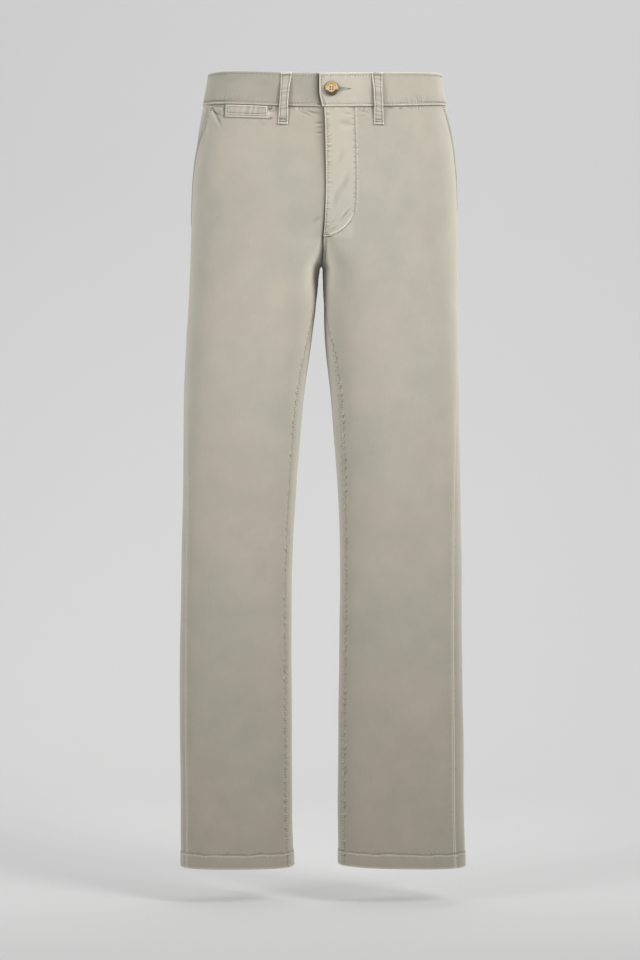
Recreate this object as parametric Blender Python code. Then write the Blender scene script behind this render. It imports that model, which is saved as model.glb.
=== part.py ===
"""Chino trousers, standing open as when they are worn, with nobody in them.

Metres, +Z up. The front faces -Y, so the wearer's right side is at -X and the left side at +X. The
origin is the middle of the waist opening, halfway up the waistband, where a wearer holds them.

Every cloth piece is cut from one outer face, skin(side, u, z). On each side of the body u is 0 at the
outermost line, -1 round the front and +1 round the back, where the two sides meet at the centre seam;
below the crotch both ends meet at the inner leg. A piece is a wall between two lifts above that face.
"""

import math
from collections import namedtuple

import bmesh
import bpy
import numpy as np
from mathutils import Matrix

MM = 0.001

# Cloth
CLOTH = 1.6 * MM
SEAM_GAP = 0.3 * MM
HALF_GAP = SEAM_GAP / 2

# How square the body's and the legs' cross-sections are: 2 is an ellipse.
SQUARENESS = 2.25

# Crotch: how high the centre seam's curve is, and how the saddle between the legs fades out
CROTCH = -224 * MM
FRONT_RISE_REACH = 85 * MM
BACK_RISE_REACH = 125 * MM
BODY_RISE = 150 * MM
SADDLE = 1.1
SADDLE_DROP = 260 * MM

# Knee and hem
KNEE = -590 * MM
HEM = -1024.5 * MM
HEM_INNER_RISE = {"right": 0.8 * MM, "left": 3.2 * MM}
HEM_RISE_HEIGHT = 200 * MM
HEM_CLOTH = 2.6 * MM
HEM_DEPTH = 20 * MM

# Waist: heights of the band at the side, and its slope from front to back
WAIST_TOP = 30 * MM
WAIST_TILT = 9 * MM
WAIST_WAVE = {"right": 2.2 * MM, "left": 0.3 * MM}
BAND_HEIGHT = 42 * MM
BAND_FRONT_DROP = 3 * MM
WAIST_LINE = WAIST_TOP - BAND_HEIGHT
WAIST_FIT_HEIGHT = 132 * MM

# Waistband
BAND_OUT = 1.0 * MM
BAND_IN = -1.6 * MM
BAND_END_TOP = -5.2 * MM
BAND_END_FOOT = -1.2 * MM
BAND_UNDERLAP = 36 * MM
BAND_SINK = 3.0 * MM
BAND_SINK_START = 1.5 * MM
BAND_SINK_RAMP = 14 * MM

# Front closure
FRONT_TOP = WAIST_TOP - WAIST_TILT
FRONT_SEAM = FRONT_TOP - BAND_HEIGHT - BAND_FRONT_DROP

# Fly
FLY_FOOT = -192 * MM
FLY_WIDTH = 39.5 * MM
FLY_CURVE = 40 * MM
FLY_RAISE = 0.9 * MM
FLY_EDGE = 8 * MM
FLY_FADE = 15 * MM
FLY_SINK = 1.1 * MM
FLY_SINK_START = 2 * MM
FLY_SINK_RAMP = 16 * MM

# Side pockets
MOUTH_TOP = 56 * MM
MOUTH_DEPTH = 158 * MM
FACING_UNDER = 20 * MM
FACING_FOOT = 4 * MM
FACING_SINK = 2.8 * MM
FACING_EDGE = 1 * MM
FACING_RAMP = 16 * MM

# Coin pocket, on the wearer's right front
COIN_LEFT = -127 * MM
COIN_RIGHT = -73 * MM
COIN_HEIGHT = 13 * MM
COIN_SEAM_GAP = 0.8 * MM
COIN_CLOTH = 1.0 * MM

# Belt loops
LOOP_WIDTH = 13.2 * MM
LOOP_LENGTH = 68.6 * MM
LOOP_CLOTH = 1.8 * MM
LOOP_TOP_GAP = 0.6 * MM
LOOP_BULGE = 3.2 * MM
LOOP_FOOT_BULGE = 0.6 * MM
LOOP_SEAM_STEP = 3 * MM

# Button and buttonhole
BUTTON_X = 9.6 * MM
BUTTON_Z = -0.5 * MM
BUTTON_RADIUS = 9.6 * MM
BUTTON_DEPTH = 3.6 * MM
BUTTON_STAND = 0.9 * MM
BUTTON_HOLE_RADIUS = 1.0 * MM
BUTTON_HOLE_SPREAD = 2.1 * MM
SHANK_RADIUS = 1.2 * MM
BUTTONHOLE_BEHIND = 2 * MM
BUTTONHOLE_LENGTH = 26.5 * MM
BUTTONHOLE_WIDTH = 3.2 * MM
BUTTONHOLE_POINT = 5 * MM
BUTTONHOLE_TIP = 0.15
BUTTONHOLE_CUT = 6 * MM

# Zip
ZIP_FOOT = FLY_FOOT + 40 * MM
ZIP_TOP = FRONT_SEAM - 3 * MM
ZIP_LEFT = -6 * MM
ZIP_RIGHT = 24 * MM
ZIP_OUT = -3.9 * MM
ZIP_IN = -5.1 * MM
CHAIN_X = 12.5 * MM
CHAIN_WIDTH = 5 * MM
CHAIN_FLANK = 0.4 * MM
CHAIN_OUT = -2.1 * MM
SLIDER_TOP = ZIP_TOP - 3 * MM
SLIDER_LENGTH = 11 * MM
SLIDER_WIDTH = 7 * MM
SLIDER_DEPTH = 0.75 * MM

Section = namedtuple("Section", "z right_outer left_outer centre front back middle")
# right_outer and left_outer are the widest lines, middle is their depth, and centre is the seam's x.
SECTIONS = [
    Section(0.045, -0.1510, 0.1550, -0.0030, -0.1030, 0.1160, 0.004),
    Section(0.020, -0.1545, 0.1574, -0.0022, -0.1048, 0.1210, 0.005),
    Section(-0.010, -0.1602, 0.1616, -0.0010, -0.1080, 0.1275, 0.006),
    Section(-0.047, -0.1670, 0.1688, 0.0010, -0.1118, 0.1370, 0.008),
    Section(-0.085, -0.1716, 0.1738, 0.0018, -0.1147, 0.1475, 0.010),
    Section(-0.124, -0.1750, 0.1768, 0.0022, -0.1160, 0.1555, 0.012),
    Section(-0.178, -0.1774, 0.1778, 0.0004, -0.1135, 0.1560, 0.013),
    Section(-0.224, -0.1784, 0.1782, -0.0034, -0.1075, 0.1440, 0.013),
    Section(-0.271, -0.1802, 0.1784, -0.0054, -0.1005, 0.1275, 0.012),
    Section(-0.324, -0.1838, 0.1794, -0.0078, -0.0935, 0.1130, 0.009),
    Section(-0.404, -0.1865, 0.1803, -0.0090, -0.0838, 0.0970, 0.006),
    Section(-0.511, -0.1876, 0.1816, -0.0094, -0.0727, 0.0810, 0.003),
    Section(-0.591, -0.1893, 0.1830, -0.0100, -0.0655, 0.0725, 0.002),
    Section(-0.671, -0.1910, 0.1838, -0.0109, -0.0597, 0.0685, 0.004),
    Section(-0.804, -0.1928, 0.1856, -0.0116, -0.0520, 0.0695, 0.009),
    Section(-0.938, -0.1916, 0.1868, -0.0118, -0.0482, 0.0685, 0.010),
    Section(-1.030, -0.1910, 0.1885, -0.0104, -0.0470, 0.0665, 0.010),
]

LegGap = namedtuple("LegGap", "z half")
# half is from the centre to each inner leg.
LEG_GAPS = [
    LegGap(-0.224, 0.0000),
    LegGap(-0.230, 0.0022),
    LegGap(-0.244, 0.0034),
    LegGap(-0.271, 0.0045),
    LegGap(-0.324, 0.0088),
    LegGap(-0.404, 0.0183),
    LegGap(-0.511, 0.0268),
    LegGap(-0.591, 0.0308),
    LegGap(-0.671, 0.0322),
    LegGap(-0.804, 0.0312),
    LegGap(-0.938, 0.0305),
    LegGap(-1.030, 0.0293),
]

Seam = namedtuple("Seam", "z right_outseam left_outseam right_inseam left_inseam")
# Outseams are values of u; inseams are how far past u = -1 the inner leg's seam lies to the front.
SEAMS = [
    Seam(0.045, -0.035, 0.100, 0.000, 0.000),
    Seam(-0.030, -0.020, 0.095, 0.000, 0.000),
    Seam(-0.110, 0.020, 0.075, 0.000, 0.000),
    Seam(-0.170, 0.030, 0.045, 0.000, 0.000),
    Seam(-0.224, 0.000, 0.000, 0.000, 0.000),
    Seam(-0.300, -0.060, -0.060, 0.080, 0.095),
    Seam(-0.360, -0.095, -0.100, 0.130, 0.170),
    Seam(-0.430, -0.130, -0.140, 0.150, 0.170),
    Seam(-0.591, -0.165, -0.190, 0.138, 0.130),
    Seam(-0.800, -0.175, -0.205, 0.135, 0.122),
    Seam(-1.030, -0.175, -0.205, 0.135, 0.120),
]

Fold = namedtuple("Fold", "side u z length width depth slant")
# A soft trough in the cloth. slant is its angle in degrees from level, rising towards u = -1.
FOLDS = [
    Fold("right", -0.235, -0.050, 0.070, 0.016, 0.0020, -52),
    Fold("left", -0.930, -0.212, 0.060, 0.016, 0.0026, -48),
    Fold("right", -0.900, -0.240, 0.070, 0.016, 0.0022, 40),
    Fold("left", -0.760, -0.272, 0.095, 0.020, 0.0020, -36),
    Fold("right", -0.700, -0.304, 0.110, 0.024, 0.0022, 30),
    Fold("right", -0.420, -0.560, 0.120, 0.026, 0.0022, 14),
    Fold("left", -0.560, -0.600, 0.130, 0.028, 0.0024, -16),
    Fold("right", -0.560, -0.945, 0.110, 0.026, 0.0020, -12),
    Fold("left", -0.450, -0.930, 0.130, 0.028, 0.0022, 15),
    Fold("right", 0.840, -0.240, 0.130, 0.020, 0.0052, 34),
    Fold("left", 0.800, -0.252, 0.140, 0.022, 0.0048, 30),
    Fold("right", 0.720, -0.302, 0.120, 0.022, 0.0040, 24),
    Fold("left", 0.680, -0.320, 0.110, 0.020, 0.0038, 20),
    Fold("right", 0.560, -0.552, 0.160, 0.020, 0.0056, 12),
    Fold("left", 0.520, -0.570, 0.150, 0.022, 0.0052, -10),
    Fold("right", 0.440, -0.612, 0.140, 0.022, 0.0046, -14),
    Fold("left", 0.600, -0.630, 0.130, 0.020, 0.0050, 12),
    Fold("right", 0.560, -0.662, 0.100, 0.020, 0.0030, 8),
    Fold("right", 0.520, -0.880, 0.130, 0.030, 0.0028, 10),
    Fold("left", 0.480, -0.905, 0.120, 0.030, 0.0028, -12),
]
FOLD_METRES_PER_U = 0.26

# Steps for the slopes of the outer face
STEP_U = 0.012
STEP_Z = 3 * MM

Loop = namedtuple("Loop", "name side u_top u_foot")
# Where the middle of each loop is, at its top and at its foot.
LOOPS = [
    Loop("belt_loop_front_right", "right", -0.830, -0.818),
    Loop("belt_loop_front_left", "left", -0.736, -0.755),
    Loop("belt_loop_side_right", "right", 0.330, 0.330),
    Loop("belt_loop_side_left", "left", 0.330, 0.330),
    Loop("belt_loop_centre_back", "right", 1.000, 1.000),
]
# A loop's points from its top, and the share of LOOP_BULGE that each stands off.
LoopPoint = namedtuple("LoopPoint", "share stand")
LOOP_PROFILE = [
    LoopPoint(0.00, 0.00),
    LoopPoint(0.07, 0.00),
    LoopPoint(0.16, 0.45),
    LoopPoint(0.30, 0.85),
    LoopPoint(0.46, 1.00),
    LoopPoint(0.62, 0.95),
    LoopPoint(0.76, 0.62),
    LoopPoint(0.87, 0.16),
    LoopPoint(0.94, 0.00),
    LoopPoint(1.00, 0.00),
]

# The button's section from its middle to its rim and back under it, as shares of radius and depth
ButtonPoint = namedtuple("ButtonPoint", "radius height")
BUTTON_PROFILE = [
    ButtonPoint(0.53, 0.67),
    ButtonPoint(0.62, 0.75),
    ButtonPoint(0.76, 0.97),
    ButtonPoint(0.88, 1.00),
    ButtonPoint(0.97, 0.83),
    ButtonPoint(1.00, 0.55),
    ButtonPoint(0.96, 0.25),
    ButtonPoint(0.75, 0.00),
]

SIGN = {"right": -1.0, "left": 1.0}

SAGE = (0.500, 0.462, 0.376, 1.0)
SAGE_BAND = (0.520, 0.485, 0.400, 1.0)
HORN = (0.330, 0.200, 0.070, 1.0)
THREAD = (0.560, 0.520, 0.420, 1.0)
TAPE = (0.420, 0.390, 0.320, 1.0)
BRASS = (0.600, 0.470, 0.250, 1.0)


def smooth(t):
    """0 below 0, 1 above 1, and an S between them."""
    t = np.clip(t, 0.0, 1.0)
    return t * t * (3.0 - 2.0 * t)


def column(table, name, z):
    """A column of a table at heights z, on a curve that never swings past its rows."""
    rows = sorted(table, key=lambda row: row.z)
    heights = np.array([row.z for row in rows])
    values = np.array([getattr(row, name) for row in rows])
    run = np.diff(heights)
    slope = np.diff(values) / run
    tangent = np.zeros_like(values)
    product = slope[:-1] * slope[1:]
    total = np.where(slope[:-1] + slope[1:] == 0, 1.0, slope[:-1] + slope[1:])
    tangent[1:-1] = np.where(product > 0, 2.0 * product / total, 0.0)
    tangent[0], tangent[-1] = slope[0], slope[-1]
    z = np.clip(z, heights[0], heights[-1])
    i = np.clip(np.searchsorted(heights, z) - 1, 0, len(run) - 1)
    t = (z - heights[i]) / run[i]
    return (values[i] * (1 + 2 * t) * (1 - t) ** 2 + values[i + 1] * t * t * (3 - 2 * t)
            + run[i] * t * (1 - t) * (tangent[i] * (1 - t) - tangent[i + 1] * t))


def rounded(wave):
    """A cosine, flattened towards the square of the cross-section."""
    return np.sign(wave) * np.abs(wave) ** (2.0 / SQUARENESS)


def bulge(off):
    """Depth of a rounded section at off, which is 0 in its middle and 1 at its end."""
    return np.clip(1.0 - np.abs(off) ** SQUARENESS, 0.0, 1.0) ** (1.0 / SQUARENESS)


def inner_line(side, z):
    """x of the centre seam, or of the inner leg below the crotch."""
    reach = HALF_GAP + column(LEG_GAPS, "half", z)
    return column(SECTIONS, "centre", z) + SIGN[side] * reach


def rise_share(share, reach, z):
    """How far a point has left the leg's section (0) for the body's (1).

    At the centre seam it is a quarter of an ellipse that starts at the crotch and is reach high. Away
    from the seam it starts lower and more softly, which makes the saddle between the legs.
    """
    climb = (z - CROTCH) / reach
    soft = SADDLE * share
    climb = np.clip((climb + np.sqrt(climb * climb + soft * soft)) / 2, 0.0, 1.0)
    return np.sqrt(climb * (2.0 - climb)) * smooth(1.0 + (z - CROTCH) / SADDLE_DROP)


def skin(side, u, z):
    """Points of the trousers' outer face."""
    u, z = np.broadcast_arrays(np.asarray(u, float), np.asarray(z, float))
    across = (np.abs(u) > 1.0) & (z > CROTCH)
    u = np.where(across, 2.0 * np.sign(u) - u, u)
    outer, inner = column(SECTIONS, side + "_outer", z), inner_line(side, z)
    middle = column(SECTIONS, "middle", z)
    leg_share = (1.0 + rounded(np.cos(math.pi * u))) / 2
    body_share = rounded(np.cos(math.pi * u / 2))
    share = leg_share + smooth((z - CROTCH) / BODY_RISE) * (body_share - leg_share)
    in_front = np.sin(math.pi * u) <= 0
    depth = np.where(in_front, column(SECTIONS, "front", z), column(SECTIONS, "back", z)) - middle
    body = rise_share(share, np.where(in_front, FRONT_RISE_REACH, BACK_RISE_REACH), z)
    leg_depth = bulge(2.0 * share - 1.0)
    depth = depth * (leg_depth + body * (bulge(share) - leg_depth))
    x = inner + (outer - inner) * share
    x = np.where(across, 2.0 * inner - x, x)
    return np.stack([x, middle + depth, z], axis=-1)


def normals(side, u, z):
    """Unit normals of the outer face, pointing out of the trousers."""
    along_u = skin(side, u + STEP_U, z) - skin(side, u - STEP_U, z)
    along_z = skin(side, u, z + STEP_Z) - skin(side, u, z - STEP_Z)
    normal = np.cross(along_u, along_z) * SIGN[side]
    return normal / np.linalg.norm(normal, axis=-1, keepdims=True)


def fold_lift(side, u, z):
    """How far the soft troughs of FOLDS lower the cloth."""
    lift = np.zeros(np.broadcast(u, z).shape)
    for fold in FOLDS:
        if fold.side != side:
            continue
        right, up = (fold.u - u) * FOLD_METRES_PER_U, z - fold.z
        turn = math.radians(fold.slant)
        along = right * math.cos(turn) + up * math.sin(turn)
        off = up * math.cos(turn) - right * math.sin(turn)
        fade = smooth(1.0 - np.abs(along) / (fold.length / 2))
        lift = lift - fold.depth * fade * np.exp(-((off / fold.width) ** 2))
    return lift


def fly_lift(side, u, z):
    """The left front stands proud over the fly's layers; the right front sinks to pass under it."""
    off = SIGN[side] * (skin(side, u, z)[..., 0] - column(SECTIONS, "centre", z))
    above_foot = smooth(1.0 + (z - FLY_FOOT) / FLY_FADE) * (u < 0)
    if side == "right":
        return -FLY_SINK * smooth(1.0 - (off - FLY_SINK_START) / FLY_SINK_RAMP) * above_foot
    drop = np.clip(1.0 - (z - FLY_FOOT) / FLY_CURVE, 0.0, 1.0)
    width = FLY_WIDTH * np.sqrt(1.0 - drop * drop)
    return FLY_RAISE * smooth(0.5 + (width - off) / FLY_EDGE) * above_foot


def lifted(side, u, z, lift):
    """Points that lie lift above the outer face, with its folds."""
    base = skin(side, u, z)
    return base + normals(side, u, z) * (lift + fold_lift(side, u, z))[..., None]


def waist_top(side, u):
    """Height of the waistband's upper edge, lowest at the front and a little wavy there."""
    wave = WAIST_WAVE[side] * np.sin(np.clip(-u, 0.0, 1.0) * math.pi) ** 2
    return WAIST_TOP + WAIST_TILT * np.sin(u * math.pi / 2) + wave


def waist_seam(side, u):
    """Height of the waistband's lower edge."""
    return waist_top(side, u) - BAND_HEIGHT - BAND_FRONT_DROP * smooth(-np.sin(u * math.pi / 2))


def step_u(side, u, z, distance):
    """The change of u that moves a point by distance round the body."""
    across = skin(side, u + STEP_U, z) - skin(side, u - STEP_U, z)
    return distance * 2 * STEP_U / np.linalg.norm(across, axis=-1)


def front_u(side, x, z):
    """u of the point of the front at x, above the crotch; past the centre seam it is under -1."""
    outer, inner = column(SECTIONS, side + "_outer", z), inner_line(side, z)
    share = np.clip((x - inner) / (outer - inner), -1.0, 1.0)
    turn = np.arccos(np.abs(share) ** (SQUARENESS / 2)) * 2 / math.pi
    return np.where(share >= 0, -turn, turn - 2.0)


def grid_faces(rows, columns):
    """Quads of a grid of rows by columns points."""
    at = np.arange(rows * columns).reshape(rows, columns)
    return np.stack([at[:-1, :-1], at[:-1, 1:], at[1:, 1:], at[1:, :-1]], axis=-1).reshape(-1, 4)


def border(rows, columns):
    """The indices round the edge of a grid, in the order that keeps it to the left."""
    at = np.arange(rows * columns).reshape(rows, columns)
    return np.concatenate([at[0, :-1], at[:-1, -1], at[-1, :0:-1], at[:0:-1, 0]])


def add_object(name, mesh, colour, roughness, metallic=0.0):
    """A named object with its own material."""
    material = bpy.data.materials.new(name)
    material.use_nodes = True
    shader = material.node_tree.nodes["Principled BSDF"]
    shader.inputs["Base Color"].default_value = colour
    shader.inputs["Roughness"].default_value = roughness
    shader.inputs["Metallic"].default_value = metallic
    mesh.materials.append(material)
    piece = bpy.data.objects.new(name, mesh)
    bpy.context.scene.collection.objects.link(piece)
    return piece


def wall(name, outer, inner, colour=SAGE, roughness=0.9):
    """A closed piece of cloth between two grids of points."""
    rows, columns = outer.shape[:2]
    count = rows * columns
    faces = grid_faces(rows, columns)
    edge = border(rows, columns)
    ahead = np.roll(edge, -1)
    rim = np.stack([edge, edge + count, ahead + count, ahead], axis=-1)
    mesh = bpy.data.meshes.new(name)
    points = np.concatenate([outer.reshape(-1, 3), inner.reshape(-1, 3)])
    mesh.from_pydata(points.tolist(), [], np.concatenate([faces, faces[:, ::-1] + count, rim]).tolist())
    tidy = bmesh.new()
    tidy.from_mesh(mesh)
    bmesh.ops.recalc_face_normals(tidy, faces=tidy.faces)
    tidy.to_mesh(mesh)
    tidy.free()
    mesh.shade_smooth()
    mesh.set_sharp_from_angle(angle=math.radians(40))
    return add_object(name, mesh, colour, roughness)


def panel_levels():
    """Heights of a panel's rows, closest at the crotch, where the cloth turns most."""
    return np.concatenate([
        [HEM, HEM + HEM_DEPTH],
        np.linspace(HEM + 2 * HEM_DEPTH, KNEE - 0.095, 8),
        np.linspace(KNEE - 0.074, KNEE + 0.046, 7),
        np.linspace(KNEE + 0.070, CROTCH - 0.080, 7),
        CROTCH + np.array([-0.056, -0.037, -0.022, -0.011, -0.004]),
        CROTCH + np.array([0.0, 0.0018, 0.006, 0.013, 0.023, 0.036, 0.051, 0.068]),
        np.linspace(CROTCH + 0.092, WAIST_LINE, 6),
    ])


def fitted_heights(side, levels, u):
    """Row heights of a grid, moved so that the last row follows the waist seam and the first the hem."""
    waist_share = smooth(1.0 - (WAIST_LINE - levels) / WAIST_FIT_HEIGHT)[:, None]
    hem_share = smooth(1.0 - (levels - HEM) / HEM_RISE_HEIGHT)[:, None]
    heights = levels[:, None] + waist_share * (waist_seam(side, u) - HALF_GAP - WAIST_LINE)
    return heights + hem_share * HEM_INNER_RISE[side] * np.sin(u * math.pi / 2) ** 4


def pocket_mouth(side, z):
    """u of the slanted mouth of the side pocket, ahead of the outseam."""
    outseam = column(SEAMS, side + "_outseam", z)
    climb = np.clip((z - (WAIST_LINE - MOUTH_DEPTH)) / MOUTH_DEPTH, 0.0, None)
    return outseam - step_u(side, outseam, z, MOUTH_TOP * climb)


def cloth_wall(name, side, first, last, columns):
    """A panel from u = first to u = last, half a seam gap inside both, with two layers at the hem.

    The centre seam above the crotch has its gap in inner_line, so only the inner leg is drawn back.
    """
    levels = panel_levels()
    way = np.sign(last(levels) - first(levels))
    on_leg = levels < CROTCH
    start = first(levels) + way * step_u(side, first(levels), levels, HALF_GAP)
    end = last(levels) - way * step_u(side, last(levels), levels, HALF_GAP) * on_leg
    u = start[:, None] + (end - start)[:, None] * np.linspace(0.0, 1.0, columns)
    z = fitted_heights(side, levels, u)
    lift = fly_lift(side, u, z)
    thickness = np.where(levels <= HEM + HEM_DEPTH, HEM_CLOTH, CLOTH)[:, None]
    return wall(name, lifted(side, u, z, lift), lifted(side, u, z, lift - thickness))


def front_panel(side):
    """One front: pocket mouth and outseam to the fly, the crotch seam and the inner leg."""
    return cloth_wall("front_" + side, side, lambda z: pocket_mouth(side, z),
                      lambda z: column(SEAMS, side + "_inseam", z) - 1.0, 13)


def back_panel(side):
    """One back: outseam to the seat seam and the inner leg."""
    return cloth_wall("back_" + side, side, lambda z: column(SEAMS, side + "_outseam", z),
                      lambda z: column(SEAMS, side + "_inseam", z) + 1.0, 16)


def pocket_facing(side):
    """The side of the hip inside the slanted mouth, which runs on under the front."""
    levels = np.linspace(WAIST_LINE - MOUTH_DEPTH + FACING_FOOT, WAIST_LINE, 9)
    outseam = column(SEAMS, side + "_outseam", levels)
    mouth = pocket_mouth(side, levels)
    first = outseam - step_u(side, outseam, levels, HALF_GAP)
    last = mouth - step_u(side, mouth, levels, FACING_UNDER)
    u = first[:, None] + (last - first)[:, None] * np.linspace(0.0, 1.0, 8)
    z = fitted_heights(side, levels, u)
    behind = (u - mouth[:, None]) / step_u(side, u, z, 1.0)
    lift = -FACING_SINK * smooth(1.0 - (behind - FACING_EDGE) / FACING_RAMP)
    return wall("pocket_facing_" + side, lifted(side, u, z, lift), lifted(side, u, z, lift - CLOTH))


def band_end(z):
    """x of the left waistband's free end, which leans."""
    return BAND_END_FOOT + (BAND_END_TOP - BAND_END_FOOT) * (z - FRONT_SEAM) / (FRONT_TOP - FRONT_SEAM)


def waistband(side):
    """Half of the waistband, from the front closure to the centre back.

    The left half ends at its free end. The right half sinks and runs on under it as the underlap.
    """
    climb = np.linspace(0.0, 1.0, 4)
    level = FRONT_SEAM + (FRONT_TOP - FRONT_SEAM) * climb
    end = band_end(level) if side == "left" else column(SECTIONS, "centre", level) + BAND_UNDERLAP
    start = front_u(side, end, level)[:, None]
    u = start + (1.0 - start) * np.linspace(0.0, 1.0, 27) ** 0.85
    foot = waist_seam(side, u) + HALF_GAP
    z = foot + (waist_top(side, u) - foot) * climb[:, None]
    lift = np.full(u.shape, BAND_OUT)
    if side == "right":
        ahead = band_end(z) - skin(side, u, z)[..., 0]
        lift -= BAND_SINK * smooth(1.0 - (ahead - BAND_SINK_START) / BAND_SINK_RAMP) * (u < 0)
    outer, inner = lifted(side, u, z, lift), lifted(side, u, z, lift - BAND_OUT + BAND_IN)
    return wall("waistband_" + side, outer, inner, SAGE_BAND)


def belt_loop(loop):
    """A strap sewn down at the band's top edge and below its seam, standing off between them."""
    side = loop.side
    share, stand = np.array(LOOP_PROFILE).T[:, :, None]
    middle = loop.u_top + (loop.u_foot - loop.u_top) * share
    z = waist_top(side, middle) - LOOP_TOP_GAP - LOOP_LENGTH * share
    u = middle + step_u(side, middle, z, LOOP_WIDTH) * np.linspace(-0.5, 0.5, 3)
    z = np.broadcast_to(z, u.shape)
    on_band = z > waist_seam(side, middle) - LOOP_SEAM_STEP
    under = np.where(on_band, BAND_OUT, fly_lift(side, u, z) + LOOP_FOOT_BULGE * stand) + SEAM_GAP
    inner = under + LOOP_BULGE * stand
    return wall(loop.name, lifted(side, u, z, inner + LOOP_CLOTH), lifted(side, u, z, inner), SAGE_BAND)


def coin_pocket():
    """The narrow welt under the waistband on the right front; its mouth is its top edge."""
    side = "right"
    x = np.linspace(COIN_LEFT, COIN_RIGHT, 7)
    u = front_u(side, x, WAIST_LINE - COIN_HEIGHT)
    z = waist_seam(side, u) - COIN_SEAM_GAP - COIN_HEIGHT * np.linspace(1.0, 0.0, 3)[:, None]
    u = np.broadcast_to(u, z.shape)
    lift = np.full(u.shape, SEAM_GAP)
    return wall("coin_pocket_welt", lifted(side, u, z, lift + COIN_CLOTH), lifted(side, u, z, lift))


def zip_tape():
    """The closed zip behind the fly: a tape with its chain standing up along it."""
    side = "left"
    near, far = CHAIN_X - CHAIN_WIDTH / 2, CHAIN_X + CHAIN_WIDTH / 2
    x = np.array([ZIP_LEFT, 0.0, near - CHAIN_FLANK, near, far, far + CHAIN_FLANK, ZIP_RIGHT])
    out = np.array([ZIP_OUT, ZIP_OUT, ZIP_OUT, CHAIN_OUT, CHAIN_OUT, ZIP_OUT, ZIP_OUT])
    z = np.linspace(ZIP_FOOT, ZIP_TOP, 11)[:, None]
    u = front_u(side, column(SECTIONS, "centre", z) + x, z)
    z, out = np.broadcast_to(z, u.shape), np.broadcast_to(out, u.shape)
    inner = np.full(u.shape, ZIP_IN)
    return wall("zip_tape", lifted(side, u, z, out), lifted(side, u, z, inner), TAPE)


def zip_slider():
    """The slider, closed at the top of the chain, with its tab pressed flat by the fly."""
    side = "left"
    z = SLIDER_TOP - SLIDER_LENGTH * np.linspace(0.0, 1.0, 4)[:, None]
    width = SLIDER_WIDTH * np.array([[0.75], [1.0], [0.8], [0.45]])
    x = CHAIN_X + width * np.array([-0.5, 0.0, 0.5])
    u = front_u(side, column(SECTIONS, "centre", z) + x, z)
    z = np.broadcast_to(z, u.shape)
    inner = np.full(u.shape, CHAIN_OUT + SEAM_GAP)
    outer = lifted(side, u, z, inner + SLIDER_DEPTH)
    return wall("zip_slider", outer, lifted(side, u, z, inner), BRASS, 0.35)


def turned(name, profile, sides, colour, roughness):
    """A round piece about its own Z axis, from (radius, height) points, top to bottom."""
    mesh = bpy.data.meshes.new(name)
    spun = bmesh.new()
    turn = np.linspace(0.0, 2 * math.pi, sides, endpoint=False)
    rings = [[spun.verts.new((r * math.cos(a), r * math.sin(a), h)) for a in turn] for r, h in profile]
    for upper, lower in zip(rings, rings[1:]):
        for i in range(sides):
            j = (i + 1) % sides
            spun.faces.new((upper[i], lower[i], lower[j], upper[j]))
    spun.faces.new(rings[0])
    spun.faces.new(rings[-1][::-1])
    bmesh.ops.recalc_face_normals(spun, faces=spun.faces)
    spun.to_mesh(mesh)
    spun.free()
    mesh.shade_smooth()
    mesh.set_sharp_from_angle(angle=math.radians(40))
    return add_object(name, mesh, colour, roughness)


def cut(piece, cutter):
    """Cuts a closed helper out of a piece, and leaves the helper out of the model."""
    cutter.hide_render = True
    cutter.display_type = "WIRE"
    modifier = piece.modifiers.new("cut_" + cutter.name, "BOOLEAN")
    modifier.operation = "DIFFERENCE"
    modifier.solver = "EXACT"
    modifier.object = cutter


def face_outwards(piece, side, u, z, lift):
    """Sets a piece on the outer face, its own Z axis along the face's normal."""
    at, out = lifted(side, u, z, lift), normals(side, u, z)
    sideways = np.cross([0.0, 0.0, 1.0], out)
    sideways /= np.linalg.norm(sideways)
    up = np.cross(out, sideways)
    matrix = np.eye(4)
    matrix[:3, 0], matrix[:3, 1], matrix[:3, 2], matrix[:3, 3] = sideways, up, out, at
    piece.matrix_world = Matrix(matrix.tolist())


def button():
    """A four-hole button standing over the buttonhole."""
    profile = [(BUTTON_RADIUS * point.radius, BUTTON_DEPTH * point.height) for point in BUTTON_PROFILE]
    piece = turned("button", profile, 32, HORN, 0.3)
    at_u = float(front_u("left", BUTTON_X, BUTTON_Z))
    face_outwards(piece, "left", at_u, BUTTON_Z, BAND_OUT + BUTTON_STAND)
    for i in range(4):
        angle = math.pi / 4 + i * math.pi / 2
        drill = [(BUTTON_HOLE_RADIUS, 2 * BUTTON_DEPTH), (BUTTON_HOLE_RADIUS, -BUTTON_DEPTH)]
        hole = turned(f"button_hole_{i}", drill, 8, HORN, 0.3)
        hole.parent = piece
        hole.location = (BUTTON_HOLE_SPREAD * math.cos(angle), BUTTON_HOLE_SPREAD * math.sin(angle), 0.0)
        cut(piece, hole)


def button_shank():
    """The wound thread from the button through the buttonhole to the underlap."""
    length = BAND_SINK + BUTTON_STAND - 2 * SEAM_GAP
    profile = [(SHANK_RADIUS, 0.0), (SHANK_RADIUS * 0.85, -length / 2), (SHANK_RADIUS, -length)]
    piece = turned("button_shank", profile, 10, THREAD, 0.9)
    at_u = float(front_u("left", BUTTON_X, BUTTON_Z))
    face_outwards(piece, "left", at_u, BUTTON_Z, BAND_OUT + BUTTON_STAND - SEAM_GAP)


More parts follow.
